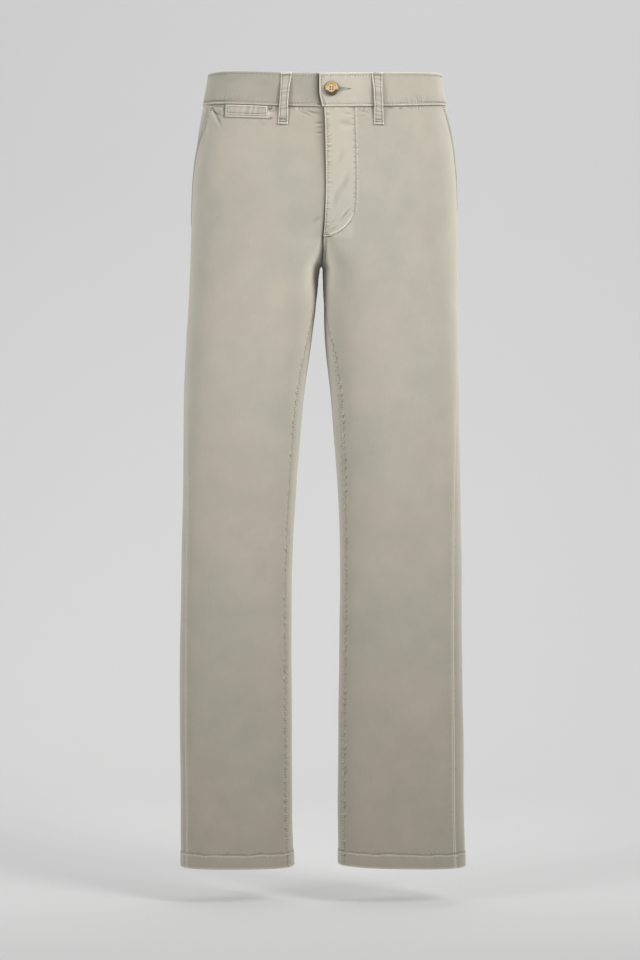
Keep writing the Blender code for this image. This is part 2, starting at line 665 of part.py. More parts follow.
def cut_buttonhole(band):
    """Cuts a slot through the left waistband, from under the button to a point further left."""
    far, wide = BUTTONHOLE_LENGTH / 2, BUTTONHOLE_WIDTH / 2
    upper = [(-far, wide), (far - BUTTONHOLE_POINT, wide), (far, wide * BUTTONHOLE_TIP)]
    outline = upper + [(x, -y) for x, y in reversed(upper)]
    mesh = bpy.data.meshes.new("buttonhole_cutter")
    slab = bmesh.new()
    face = slab.faces.new([slab.verts.new((x, y, -BUTTONHOLE_CUT)) for x, y in outline])
    raised = bmesh.ops.extrude_face_region(slab, geom=[face])["geom"]
    corners = [part for part in raised if isinstance(part, bmesh.types.BMVert)]
    bmesh.ops.translate(slab, vec=(0.0, 0.0, 2 * BUTTONHOLE_CUT), verts=corners)
    bmesh.ops.recalc_face_normals(slab, faces=slab.faces)
    slab.to_mesh(mesh)
    slab.free()
    cutter = add_object("buttonhole_cutter", mesh, SAGE_BAND, 0.9)
    at_u = float(front_u("left", BUTTON_X - BUTTONHOLE_BEHIND + far, BUTTON_Z))
    face_outwards(cutter, "left", at_u, BUTTON_Z, 0.0)
    cut(band, cutter)


def main():
    """Clears the scene and builds every piece of the trousers."""
    for thing in list(bpy.data.objects):
        bpy.data.objects.remove(thing)
    for side in ("right", "left"):
        front_panel(side)
        back_panel(side)
        pocket_facing(side)
    waistband("right")
    cut_buttonhole(waistband("left"))
    for loop in LOOPS:
        belt_loop(loop)
    coin_pocket()
    button()
    button_shank()
    zip_tape()
    zip_slider()


main()
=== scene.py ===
"""The looks of a pair of chino trousers: cloth, sewing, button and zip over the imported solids.

Metres, +Z up, the trousers' front towards -Y. Every cloth surface is worked out from one outer face,
Figure.skin(side, u, z), where u is 0 at the outermost line of each side, -1 round the front and +1
round the back. A piece lifts that face along its normals by its own relief: soft folds, raised seams,
stitched grooves and the puckers beside them.
"""

import logging
import math
from dataclasses import dataclass, field
from enum import Enum
from typing import Sequence

import bpy
import numpy as np
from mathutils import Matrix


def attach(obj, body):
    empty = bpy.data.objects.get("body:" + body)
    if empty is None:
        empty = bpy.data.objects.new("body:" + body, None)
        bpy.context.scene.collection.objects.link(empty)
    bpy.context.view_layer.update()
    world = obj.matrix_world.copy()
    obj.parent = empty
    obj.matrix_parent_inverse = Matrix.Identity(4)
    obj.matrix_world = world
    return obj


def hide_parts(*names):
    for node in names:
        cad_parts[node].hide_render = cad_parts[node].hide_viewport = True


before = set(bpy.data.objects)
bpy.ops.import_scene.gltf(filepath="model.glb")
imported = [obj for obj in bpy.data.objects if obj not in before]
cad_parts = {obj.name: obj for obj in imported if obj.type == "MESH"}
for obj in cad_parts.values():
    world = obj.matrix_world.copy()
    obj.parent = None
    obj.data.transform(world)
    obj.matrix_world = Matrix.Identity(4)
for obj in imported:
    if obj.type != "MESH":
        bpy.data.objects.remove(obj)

Array = np.ndarray
Piece = bpy.types.Object
Material = bpy.types.Material
Socket = bpy.types.NodeSocket
Colour = tuple[float, float, float, float]
Bead = tuple[float, float, float]
MM = 0.001
BODY = "root"

log = logging.getLogger("chinos")


# ---------------------------------------------------------------- shapes in numbers


def smooth(t: Array) -> Array:
    """0 below 0, 1 above 1, and 3t^2 - 2t^3 between them."""
    t = np.clip(t, 0.0, 1.0)
    return t * t * (3.0 - 2.0 * t)


def ridge(distance: Array, width: float) -> Array:
    """A bell curve of a distance: 1 on the line, and e^-1 a width away from it."""
    return np.exp(-((distance / width) ** 2))


def wander(along: Array, pitch: float, seed: int) -> Array:
    """An uneven slow wave from -1 to 1: three sines of unrelated lengths, a few pitches long.

    Args:
        along: distance along a line, in metres.
        pitch: the shortest wave's length, in metres.
        seed: picks the waves' phases.

    Returns:
        The wave's height at each distance.
    """
    phases = np.random.default_rng(seed).uniform(0.0, 2 * math.pi, 3)
    waves = [np.sin(2 * math.pi * along / (pitch * stretch) + phase)
             for stretch, phase in zip((1.0, 1.83, 3.71), phases)]
    return sum(waves) / 3.0


def gathers(along: Array, pitch: float, seed: int) -> Array:
    """Puckers along a seam: a sine whose phase and strength both wander.

    Args:
        along: distance along the seam, in metres.
        pitch: the puckers' mean spacing, in metres.
        seed: picks where they are strong.

    Returns:
        Heights from -1 to 1.
    """
    phase = 2 * math.pi * along / pitch + 3.4 * wander(along, 2.6 * pitch, seed)
    strength = 0.55 + 0.45 * wander(along, 3.3 * pitch, seed + 1)
    return np.sin(phase) * strength


def beads(off: Array, *rows: Bead) -> Array:
    """Lines raised beside an edge, or sunk where the height is under 0.

    Args:
        off: distance from the edge, in metres.
        rows: each line's height, distance from the edge and half width, in millimetres.

    Returns:
        Heights in metres.
    """
    return sum(height * MM * ridge(off - at * MM, width * MM) for height, at, width in rows)


@dataclass(frozen=True)
class Puckers:
    """Short puckers that leave a stitch row, one to a pitch, each of its own place, length and depth.

    Across itself a pucker is a bell-shaped trough with a lower swelling beside it. It starts at a
    distance from the seam and fades over its reach. All are millimetres but the slant, which is how far
    a pucker leans along the seam for each metre off it, and seed, which picks the puckers.
    """

    seed: int
    depth: float
    pitch: float
    start: float
    reach: float
    width: float = 1.1
    slant: float = 0.0

    def lift(self, along: Array, off: Array, seed: int) -> Array:
        """Their heights.

        Args:
            along: distance along the seam, in metres.
            off: distance from the seam.
            seed: the piece's own, added to theirs.

        Returns:
            Heights in metres, from a depth below 0 to half of it above.
        """
        table = np.random.default_rng(seed + self.seed).uniform(0.0, 1.0, (512, 3))
        pitch, width = self.pitch * MM, self.width * MM
        along = along + self.slant * off
        cell = np.floor(along / pitch).astype(int)
        stray, strong, long = np.moveaxis(table[cell % len(table)], -1, 0)
        local = along - (cell + 0.5 + 0.6 * (stray - 0.5)) * pitch
        past = off - self.start * MM
        end = self.reach * MM * (0.45 + 0.65 * long)
        fade = smooth(past / (1.0 * MM)) * smooth(1.25 * (1.0 - past / end))
        across = ridge(local, width) - 0.5 * ridge(local - 2.0 * width, 1.3 * width)
        return -self.depth * MM * (0.3 + 0.7 * strong) * fade * across


ROUND = 0.9 * MM


def rounding(off: Array, reach: float = ROUND) -> Array:
    """How far a rounded edge has fallen: 1 at the edge, and 0 a reach inside it."""
    return 1.0 - np.sqrt(np.clip(off / reach, 0.0, 1.0))


def travelled(line: Array) -> Array:
    """Distances from a line's start to each of its corners."""
    return np.concatenate([[0.0], np.cumsum(np.linalg.norm(np.diff(line, axis=0), axis=-1))])


def read_off(table: Array, way: Array, at: Array) -> Array:
    """A table's rows at places between those of way."""
    return np.stack([np.interp(at, way, column) for column in table.T], axis=-1)


SEAM_ZONE = (1.2, 0.4)


def paced(*zones: tuple[float, float]) -> Array:
    """Places along a line as shares from 0 to 1, each zone being (its length, its spacing) in mm.

    Args:
        zones: the zones in order.

    Returns:
        The places, from 0 to 1.
    """
    counts = [max(1, round(length / step)) for length, step in zones]
    steps = [np.full(count, length / count) for count, (length, _) in zip(counts, zones)]
    places = np.concatenate([[0.0], np.cumsum(np.concatenate(steps))])
    return places / places[-1]


def unit(vectors: Array) -> Array:
    """The vectors at length 1."""
    return vectors / np.linalg.norm(vectors, axis=-1, keepdims=True)


@dataclass(frozen=True)
class Curve:
    """A value over height, on cubic pieces whose slopes never let it swing past its rows."""

    heights: Array
    values: Array

    @classmethod
    def of(cls, rows: Sequence, name: str) -> "Curve":
        """The curve through one column of a table."""
        rows = sorted(rows, key=lambda row: row.z)
        return cls(np.array([row.z for row in rows]), np.array([getattr(row, name) for row in rows]))

    def __call__(self, z: Array) -> Array:
        """The value at heights z.

        Args:
            z: heights, held at the ends of the rows.

        Returns:
            The values there.
        """
        run = np.diff(self.heights)
        slope = np.diff(self.values) / run
        total = np.where(slope[:-1] + slope[1:] == 0, 1.0, slope[:-1] + slope[1:])
        product = slope[:-1] * slope[1:]
        inner = np.where(product > 0, 2.0 * product / total, 0.0)
        tangent = np.concatenate([slope[:1], inner, slope[-1:]])
        z = np.clip(z, self.heights[0], self.heights[-1])
        i = np.clip(np.searchsorted(self.heights, z) - 1, 0, len(run) - 1)
        t = (z - self.heights[i]) / run[i]
        return (self.values[i] * (1 + 2 * t) * (1 - t) ** 2 + self.values[i + 1] * t * t * (3 - 2 * t)
                + run[i] * t * (1 - t) * (tangent[i] * (1 - t) - tangent[i + 1] * t))


def nearest_on_line(across: Array, up: Array, line: Array) -> tuple[Array, Array]:
    """Distance from points to a drawn line in a flat view, and the distance along it.

    Each point is dropped onto every stretch of the line, and the shortest drop is kept. The sign is
    positive on the line's left side.

    Args:
        across: the points' first coordinate.
        up: the points' second coordinate.
        line: the line's corners, one (across, up) to a row.

    Returns:
        Signed distance and distance along the line, in the points' shape.
    """
    points = np.stack([across.ravel(), up.ravel()], axis=-1)[:, None]
    start, run = line[:-1], np.diff(line, axis=0)
    length = np.linalg.norm(run, axis=-1)
    share = np.clip(((points - start) * run).sum(-1) / length**2, 0.0, 1.0)
    off = points - start - share[..., None] * run
    distance = np.linalg.norm(off, axis=-1)
    best = distance.argmin(axis=1)
    row = np.arange(len(best))
    turn = run[best, 0] * off[row, best, 1] - run[best, 1] * off[row, best, 0]
    along = travelled(line)[best] + share[row, best] * length[best]
    signed = np.where(turn >= 0, 1.0, -1.0) * distance[row, best]
    return signed.reshape(across.shape), along.reshape(across.shape)


# ---------------------------------------------------------------- the figure


class Side(Enum):
    """The wearer's sides; the value is the sign of x."""

    RIGHT = -1
    LEFT = 1

    @property
    def word(self) -> str:
        """The side's name in the names of pieces."""
        return self.name.lower()


@dataclass(frozen=True)
class Ring:
    """One level section: its widest lines, the centre seam's x, and its front, back and middle depth."""

    z: float
    right: float
    left: float
    centre: float
    front: float
    back: float
    middle: float


RINGS = tuple(Ring(*row) for row in (
    (0.045, -0.1510, 0.1550, -0.0030, -0.1030, 0.1160, 0.004),
    (0.020, -0.1545, 0.1574, -0.0022, -0.1048, 0.1210, 0.005),
    (-0.010, -0.1602, 0.1616, -0.0010, -0.1080, 0.1275, 0.006),
    (-0.047, -0.1670, 0.1688, 0.0010, -0.1118, 0.1370, 0.008),
    (-0.085, -0.1716, 0.1738, 0.0018, -0.1147, 0.1475, 0.010),
    (-0.124, -0.1750, 0.1768, 0.0022, -0.1160, 0.1555, 0.012),
    (-0.178, -0.1774, 0.1778, 0.0004, -0.1135, 0.1560, 0.013),
    (-0.224, -0.1784, 0.1782, -0.0034, -0.1075, 0.1440, 0.013),
    (-0.271, -0.1802, 0.1784, -0.0054, -0.1005, 0.1275, 0.012),
    (-0.324, -0.1838, 0.1794, -0.0078, -0.0935, 0.1130, 0.009),
    (-0.404, -0.1865, 0.1803, -0.0090, -0.0838, 0.0970, 0.006),
    (-0.511, -0.1876, 0.1816, -0.0094, -0.0727, 0.0810, 0.003),
    (-0.591, -0.1893, 0.1830, -0.0100, -0.0655, 0.0725, 0.002),
    (-0.671, -0.1910, 0.1838, -0.0109, -0.0597, 0.0685, 0.004),
    (-0.804, -0.1928, 0.1856, -0.0116, -0.0520, 0.0695, 0.009),
    (-0.938, -0.1916, 0.1868, -0.0118, -0.0482, 0.0685, 0.010),
    (-1.030, -0.1910, 0.1885, -0.0104, -0.0470, 0.0665, 0.010),
))


@dataclass(frozen=True)
class LegGap:
    """How far each inner leg stands from the centre at a height."""

    z: float
    half: float


LEG_GAPS = tuple(LegGap(*row) for row in (
    (-0.224, 0.0000), (-0.230, 0.0022), (-0.244, 0.0034), (-0.271, 0.0045),
    (-0.324, 0.0088), (-0.404, 0.0183), (-0.511, 0.0268), (-0.591, 0.0308),
    (-0.671, 0.0322), (-0.804, 0.0312), (-0.938, 0.0305), (-1.030, 0.0293),
))


@dataclass(frozen=True)
class SeamRow:
    """Where the leg seams lie: outseams as u, inseams as how far past u = -1 they lie to the front."""

    z: float
    right_outseam: float
    left_outseam: float
    right_inseam: float
    left_inseam: float


SEAM_ROWS = tuple(SeamRow(*row) for row in (
    (0.045, -0.035, 0.100, 0.000, 0.000),
    (-0.030, -0.020, 0.095, 0.000, 0.000),
    (-0.0520, -0.0110, 0.0915, 0.000, 0.000),
    (-0.0614, -0.0048, 0.0895, 0.000, 0.000),
    (-0.0728, 0.0000, 0.0866, 0.000, 0.000),
    (-0.0810, 0.0070, 0.0840, 0.000, 0.000),
    (-0.110, 0.020, 0.075, 0.000, 0.000),
    (-0.170, 0.030, 0.045, 0.000, 0.000),
    (-0.224, 0.000, 0.000, 0.000, 0.000),
    (-0.300, -0.060, -0.060, 0.080, 0.095),
    (-0.360, -0.095, -0.100, 0.130, 0.170),
    (-0.430, -0.130, -0.140, 0.150, 0.170),
    (-0.591, -0.165, -0.190, 0.138, 0.130),
    (-0.800, -0.175, -0.205, 0.135, 0.122),
    (-1.030, -0.175, -0.205, 0.135, 0.120),
))


@dataclass(frozen=True)
class Fold:
    """A soft trough: its middle, length, width, depth, and slant in degrees rising towards u = -1."""

    u: float
    z: float
    length: float
    width: float
    depth: float
    slant: float


FOLDS = {
    Side.RIGHT: tuple(Fold(*row) for row in (
        (-0.235, -0.050, 0.070, 0.016, 0.0020, -52),
        (-0.900, -0.240, 0.070, 0.016, 0.0022, 40),
        (-0.700, -0.304, 0.110, 0.024, 0.0022, 30),
        (-0.420, -0.560, 0.120, 0.026, 0.0022, 14),
        (-0.560, -0.945, 0.110, 0.026, 0.0020, -12),
        (0.840, -0.240, 0.130, 0.020, 0.0052, 34),
        (0.720, -0.302, 0.120, 0.022, 0.0040, 24),
        (0.560, -0.552, 0.160, 0.020, 0.0056, 12),
        (0.440, -0.612, 0.140, 0.022, 0.0046, -14),
        (0.560, -0.662, 0.100, 0.020, 0.0030, 8),
        (0.520, -0.880, 0.130, 0.030, 0.0028, 10),
    )),
    Side.LEFT: tuple(Fold(*row) for row in (
        (-0.930, -0.212, 0.060, 0.016, 0.0026, -48),
        (-0.760, -0.272, 0.095, 0.020, 0.0020, -36),
        (-0.560, -0.600, 0.130, 0.028, 0.0024, -16),
        (-0.450, -0.930, 0.130, 0.028, 0.0022, 15),
        (0.800, -0.252, 0.140, 0.022, 0.0048, 30),
        (0.680, -0.320, 0.110, 0.020, 0.0038, 20),
        (0.520, -0.570, 0.150, 0.022, 0.0052, -10),
        (0.600, -0.630, 0.130, 0.020, 0.0050, 12),
        (0.480, -0.905, 0.120, 0.030, 0.0028, -12),
    )),
}


class Figure:
    """The trousers' outer face, without seams: a rounded body that splits into two legs."""

    squareness = 2.25
    front_squareness = 2.70
    crotch = -0.224
    front_reach = 0.085
    back_reach = 0.125
    body_rise = 0.150
    saddle = 1.1
    saddle_drop = 0.260
    half_seam = 0.02 * MM
    step_u = 0.012
    step_z = 0.003
    settling = 8
    longest_step = 0.04
    chords = 4
    search_u = 0.5
    search_steps = 601
    gap_spread = 0.075
    fold_metres_per_u = 0.26
    hem = -1.0245
    hem_inner_rise = {Side.RIGHT: 0.8 * MM, Side.LEFT: 3.2 * MM}
    waist_top_middle = 0.030
    waist_tilt = 0.009
    waist_wave = {Side.RIGHT: 2.2 * MM, Side.LEFT: 0.3 * MM}
    band_height = 0.042
    band_front_drop = 0.003

    def __init__(self) -> None:
        """Turns the tables into curves over height."""
        self.outer = {side: Curve.of(RINGS, side.word) for side in Side}
        self.centre = Curve.of(RINGS, "centre")
        self.front = Curve.of(RINGS, "front")
        self.back = Curve.of(RINGS, "back")
        self.middle = Curve.of(RINGS, "middle")
        self.gap = Curve.of(LEG_GAPS, "half")
        self.outseam = {side: Curve.of(SEAM_ROWS, side.word + "_outseam") for side in Side}
        self.inseam = {side: Curve.of(SEAM_ROWS, side.word + "_inseam") for side in Side}
        self.front_top = self.waist_top_middle - self.waist_tilt
        self.front_seam = self.front_top - self.band_height - self.band_front_drop
        self.waist_line = self.waist_top_middle - self.band_height

    def inner_line(self, side: Side, z: Array) -> Array:
        """x of the centre seam, or of the inner leg below the crotch."""
        return self.centre(z) + side.value * (self.half_seam + self.gap(z))

    def rounded(self, wave: Array) -> Array:
        """A cosine, flattened towards the square of the section."""
        return np.sign(wave) * np.abs(wave) ** (2.0 / self.squareness)

    def bulge(self, off: Array, squareness: Array) -> Array:
        """Depth of a rounded section: (1 - |off|^n)^(1/n), with n the squareness."""
        return np.clip(1.0 - np.abs(off) ** squareness, 0.0, 1.0) ** (1.0 / squareness)

    def rise_share(self, share: Array, reach: Array, z: Array) -> Array:
        """How far a point has left the leg's section for the body's.

        At the centre seam it is a quarter of an ellipse that starts at the crotch; away from the seam
        it starts lower and more softly, which makes the saddle between the legs.

        Args:
            share: 0 at the centre seam and 1 at the outermost line.
            reach: the ellipse's height.
            z: heights.

        Returns:
            Shares from 0 to 1.
        """
        climb = (z - self.crotch) / reach
        soft = self.saddle * share
        climb = np.clip((climb + np.sqrt(climb * climb + soft * soft)) / 2, 0.0, 1.0)
        return np.sqrt(climb * (2.0 - climb)) * smooth(1.0 + (z - self.crotch) / self.saddle_drop)

    def skin(self, side: Side, u: Array, z: Array) -> Array:
        """Points of the outer face.

        The share across a half section is (1 + cos(pi u)) / 2 on a leg and cos(pi u / 2) on the body,
        both flattened. Just below the crotch the gap moves only the inner thigh. Depth follows the
        rounded section at that share, squarer in front, where the legs hang flat.

        Args:
            side: the wearer's side.
            u: place round the section.
            z: height.

        Returns:
            An array of points, one (x, y, z) for each u and z.
        """
        u, z = np.broadcast_arrays(np.asarray(u, float), np.asarray(z, float))
        across = (np.abs(u) > 1.0) & (z > self.crotch)
        u = np.where(across, 2.0 * np.sign(u) - u, u)
        outer, inner, middle = self.outer[side](z), self.inner_line(side, z), self.middle(z)
        leg_share = (1.0 + self.rounded(np.cos(math.pi * u))) / 2
        body_share = self.rounded(np.cos(math.pi * u / 2))
        share = leg_share + smooth((z - self.crotch) / self.body_rise) * (body_share - leg_share)
        in_front = np.sin(math.pi * u) <= 0
        depth = np.where(in_front, self.front(z), self.back(z)) - middle
        body = self.rise_share(share, np.where(in_front, self.front_reach, self.back_reach), z)
        squareness = np.where(in_front, self.front_squareness, self.squareness)
        leg_depth = self.bulge(2.0 * share - 1.0, squareness)
        depth = depth * (leg_depth + body * (self.bulge(share, squareness) - leg_depth))
        spread = smooth((self.crotch - z) / self.gap_spread)
        narrow = (1.0 - share) ** 3
        closed = (inner - self.centre(z)) * (1.0 - spread) * (1.0 - share - narrow)
        x = (outer - inner) * share + inner - closed
        x = np.where(across, 2.0 * inner - x, x)
        return np.stack([x, middle + depth, z], axis=-1)

    def normals(self, side: Side, u: Array, z: Array) -> Array:
        """Unit normals of the outer face: the cross product of its slopes along u and along z.

        Args:
            side: the wearer's side.
            u: place round the section.
            z: height.

        Returns:
            One unit vector for each u and z.
        """
        along_u = self.skin(side, u + self.step_u, z) - self.skin(side, u - self.step_u, z)
        along_z = self.skin(side, u, z + self.step_z) - self.skin(side, u, z - self.step_z)
        return unit(np.cross(along_u, along_z) * side.value)

    def folds(self, side: Side, u: Array, z: Array) -> Array:
        """How far the soft troughs lower the cloth: a bell curve across each, faded along it.

        Args:
            side: the wearer's side.
            u: place round the section.
            z: height.

        Returns:
            Heights in metres, 0 or below.
        """
        lift = np.zeros(np.broadcast(u, z).shape)
        for fold in FOLDS[side]:
            right, up = (fold.u - u) * self.fold_metres_per_u, z - fold.z
            turn = math.radians(fold.slant)
            along = right * math.cos(turn) + up * math.sin(turn)
            off = up * math.cos(turn) - right * math.sin(turn)
            fade = smooth(1.0 - np.abs(along) / (fold.length / 2))
            lift = lift - fold.depth * fade * ridge(off, fold.width)
        return lift

    def lifted(self, side: Side, u: Array, z: Array, lift: Array) -> Array:
        """Points a lift above the folded outer face."""
        lift = lift + self.folds(side, u, z)
        return self.skin(side, u, z) + self.normals(side, u, z) * lift[..., None]

    def rate(self, side: Side, u: Array, z: Array) -> Array:
        """Metres round the section for each 1 of u."""
        span = self.skin(side, u + self.step_u, z) - self.skin(side, u - self.step_u, z)
        return np.linalg.norm(span, axis=-1) / (2 * self.step_u)

    def gap_to(self, side: Side, edge: Array, u: Array, z: Array) -> Array:
        """Distance round the section from u = edge to u, summed over a few chords.

        Args:
            side: the wearer's side.
            edge: u to measure from.
            u: place round the section.
            z: height.

        Returns:
            Distances in metres.
        """
        shares = np.linspace(0.0, 1.0, self.chords + 1)
        corners = [self.skin(side, edge + (u - edge) * share, z) for share in shares]
        return sum(np.linalg.norm(b - a, axis=-1) for a, b in zip(corners, corners[1:]))

    def moved(self, side: Side, u: Array, z: Array, distance: Array) -> Array:
        """u at a distance round the section from u, further back where the distance is over 0.

        Args:
            side: the wearer's side.
            u: the starts, one to a level.
            z: the levels.
            distance: how far, one for all or one to a level.

        Returns:
            u read off the section's length, which is summed over small steps of u.
        """
        distance = np.broadcast_to(distance, u.shape)
        tries = u[:, None] + np.sign(distance)[:, None] * np.linspace(0.0, self.search_u, self.search_steps)
        corners = self.skin(side, tries, z[:, None])
        chords = np.linalg.norm(np.diff(corners, axis=1, prepend=corners[:, :1]), axis=-1)
        lengths = np.cumsum(chords, axis=1)
        return np.array([np.interp(*row) for row in zip(np.abs(distance), lengths, tries)])

    def front_u(self, side: Side, x: Array, z: Array) -> Array:
        """u of the front's point at x, above the crotch; past the centre seam it is under -1.

        Args:
            side: the wearer's side.
            x: places across.
            z: heights.

        Returns:
            u from the body's formula, then settled by Newton's steps on the skin itself.
        """
        inner = self.inner_line(side, z)
        share = np.clip((x - inner) / (self.outer[side](z) - inner), -1.0, 1.0)
        turn = np.arccos(np.abs(share) ** (self.squareness / 2)) * 2 / math.pi
        u = np.where(share >= 0, -turn, turn - 2.0)
        for _ in range(self.settling):
            around = (u - self.step_u / 4, u, u + self.step_u / 4)
            behind, here, ahead = (self.skin(side, place, z)[..., 0] for place in around)
            step = (here - x) * self.step_u / 2 / (ahead - behind)
            u = u - np.clip(step, -self.longest_step, self.longest_step)
        return u

    def fitted(self, side: Side, u: Array, levels: Array, reach: float) -> Array:
        """Heights of a grid whose top row follows the waist seam, fitted over a reach below it."""
        share = smooth(1.0 - (self.waist_line - levels) / reach)[:, None]
        return levels[:, None] + share * (self.waist_seam(side, u) - self.half_seam - self.waist_line)

    def waist_top(self, side: Side, u: Array) -> Array:
        """Height of the waistband's upper edge, lowest at the front and a little wavy there."""
        wave = self.waist_wave[side] * np.sin(np.clip(-u, 0.0, 1.0) * math.pi) ** 2
        return self.waist_top_middle + self.waist_tilt * np.sin(u * math.pi / 2) + wave

    def waist_seam(self, side: Side, u: Array) -> Array:
        """Height of the waistband's lower edge."""
        drop = self.band_front_drop * smooth(-np.sin(u * math.pi / 2))
        return self.waist_top(side, u) - self.band_height - drop

    def hem_line(self, side: Side, u: Array) -> Array:
        """Height of the hem, a little higher at the inner leg."""
        return self.hem + self.hem_inner_rise[side] * np.sin(u * math.pi / 2) ** 4


FIGURE = Figure()


# ---------------------------------------------------------------- finishes


class Graph:
    """A short way to write a material's nodes."""

    def __init__(self, name: str) -> None:
        """Starts a material that holds a Principled shader and its output.

        Args:
            name: the material's name.
        """
        self.material = bpy.data.materials.new(name)
        self.material.use_nodes = True
        self.tree = self.material.node_tree
        self.shader = self.tree.nodes["Principled BSDF"]

    def add(self, kind: str, values: dict | None = None, **settings: object) -> bpy.types.Node:
        """One node.

        Args:
            kind: Blender's node type.
            values: socket name to a constant, or to another node's output.
            settings: the node's own properties.

        Returns:
            The node.
        """
        node = self.tree.nodes.new(kind)
        for key, value in settings.items():
            setattr(node, key, value)
        for key, value in (values or {}).items():
            self.put(node.inputs[key], value)
        return node

    def put(self, socket: Socket, value: object) -> None:
        """Gives a socket a constant or links an output to it.

        Args:
            socket: the input.
            value: a constant, or another node's output.
        """
        if isinstance(value, Socket):
            self.tree.links.new(value, socket)
        else:
            socket.default_value = value

    def sum(self, a: object, b: object, operation: str = "ADD") -> Socket:
        """A Math node's output.

        Args:
            a: the first term.
            b: the second term.
            operation: the node's operation.

        Returns:
            The node's output.
        """
        node = self.add("ShaderNodeMath", operation=operation)
        self.put(node.inputs[0], a)
        self.put(node.inputs[1], b)
        return node.outputs[0]

    def blend(self, share: object, a: object, b: object, mode: str = "MIX") -> Socket:
        """A colour mix's output.

        Args:
            share: how much of the second colour.
            a: the first colour.
            b: the second colour.
            mode: how the colours are mixed.

        Returns:
            The node's output.
        """
        node = self.add("ShaderNodeMix", data_type="RGBA", blend_type=mode)
        self.put(node.inputs[0], share)
        self.put(node.inputs[6], a)
        self.put(node.inputs[7], b)
        return node.outputs[2]

    def spread(self, value: object, low: float, high: float, to_low: float = 0.0,
               to_high: float = 1.0) -> Socket:
        """A value moved from one range to another, held at its ends."""
        values = {"Value": value, "From Min": low, "From Max": high, "To Min": to_low, "To Max": to_high}
        return self.add("ShaderNodeMapRange", values).outputs["Result"]

    def noise(self, vector: object, scale: float, detail: float = 2.0,
              rough: float = 0.5) -> Socket:
        """A noise texture's value, from 0 to 1."""
        values = {"Vector": vector, "Scale": scale, "Detail": detail, "Roughness": rough}
        return self.add("ShaderNodeTexNoise", values).outputs[0]

    def place(self) -> Socket:
        """The point's coordinates in its object."""
        return self.add("ShaderNodeTexCoord").outputs["Object"]

    def read(self, name: str) -> Socket:
        """A value stored on the mesh under a name."""
        return self.add("ShaderNodeAttribute", attribute_name=name).outputs["Fac"]

    def scaled(self, vector: object, *scale: float) -> Socket:
        """Coordinates stretched along their axes."""
        return self.add("ShaderNodeMapping", {"Vector": vector, "Scale": scale}).outputs[0]

    def grey(self, value: object) -> Socket:
        """The grey of a value."""
        return self.add("ShaderNodeCombineColor", {"Red": value, "Green": value, "Blue": value}).outputs[0]

    def bump(self, strength: float, depth: float, height: object) -> Socket:
        """Normals tilted by a height."""
        values = {"Strength": strength, "Distance": depth, "Height": height}
        return self.add("ShaderNodeBump", values).outputs[0]

    def shade(self, **sockets: object) -> Material:
        """Fills the shader's sockets, named with _ for a space, and gives back the material.

        Args:
            sockets: the shader's inputs and what goes in.

        Returns:
            The material.
        """
        for key, value in sockets.items():
            self.put(self.shader.inputs[key.replace("_", " ")], value)
        return self.material


def rgb(red: float, green: float, blue: float) -> Colour:
    """A linear colour with full alpha."""
    return (red, green, blue, 1.0)


WHITE = rgb(1.0, 1.0, 1.0)


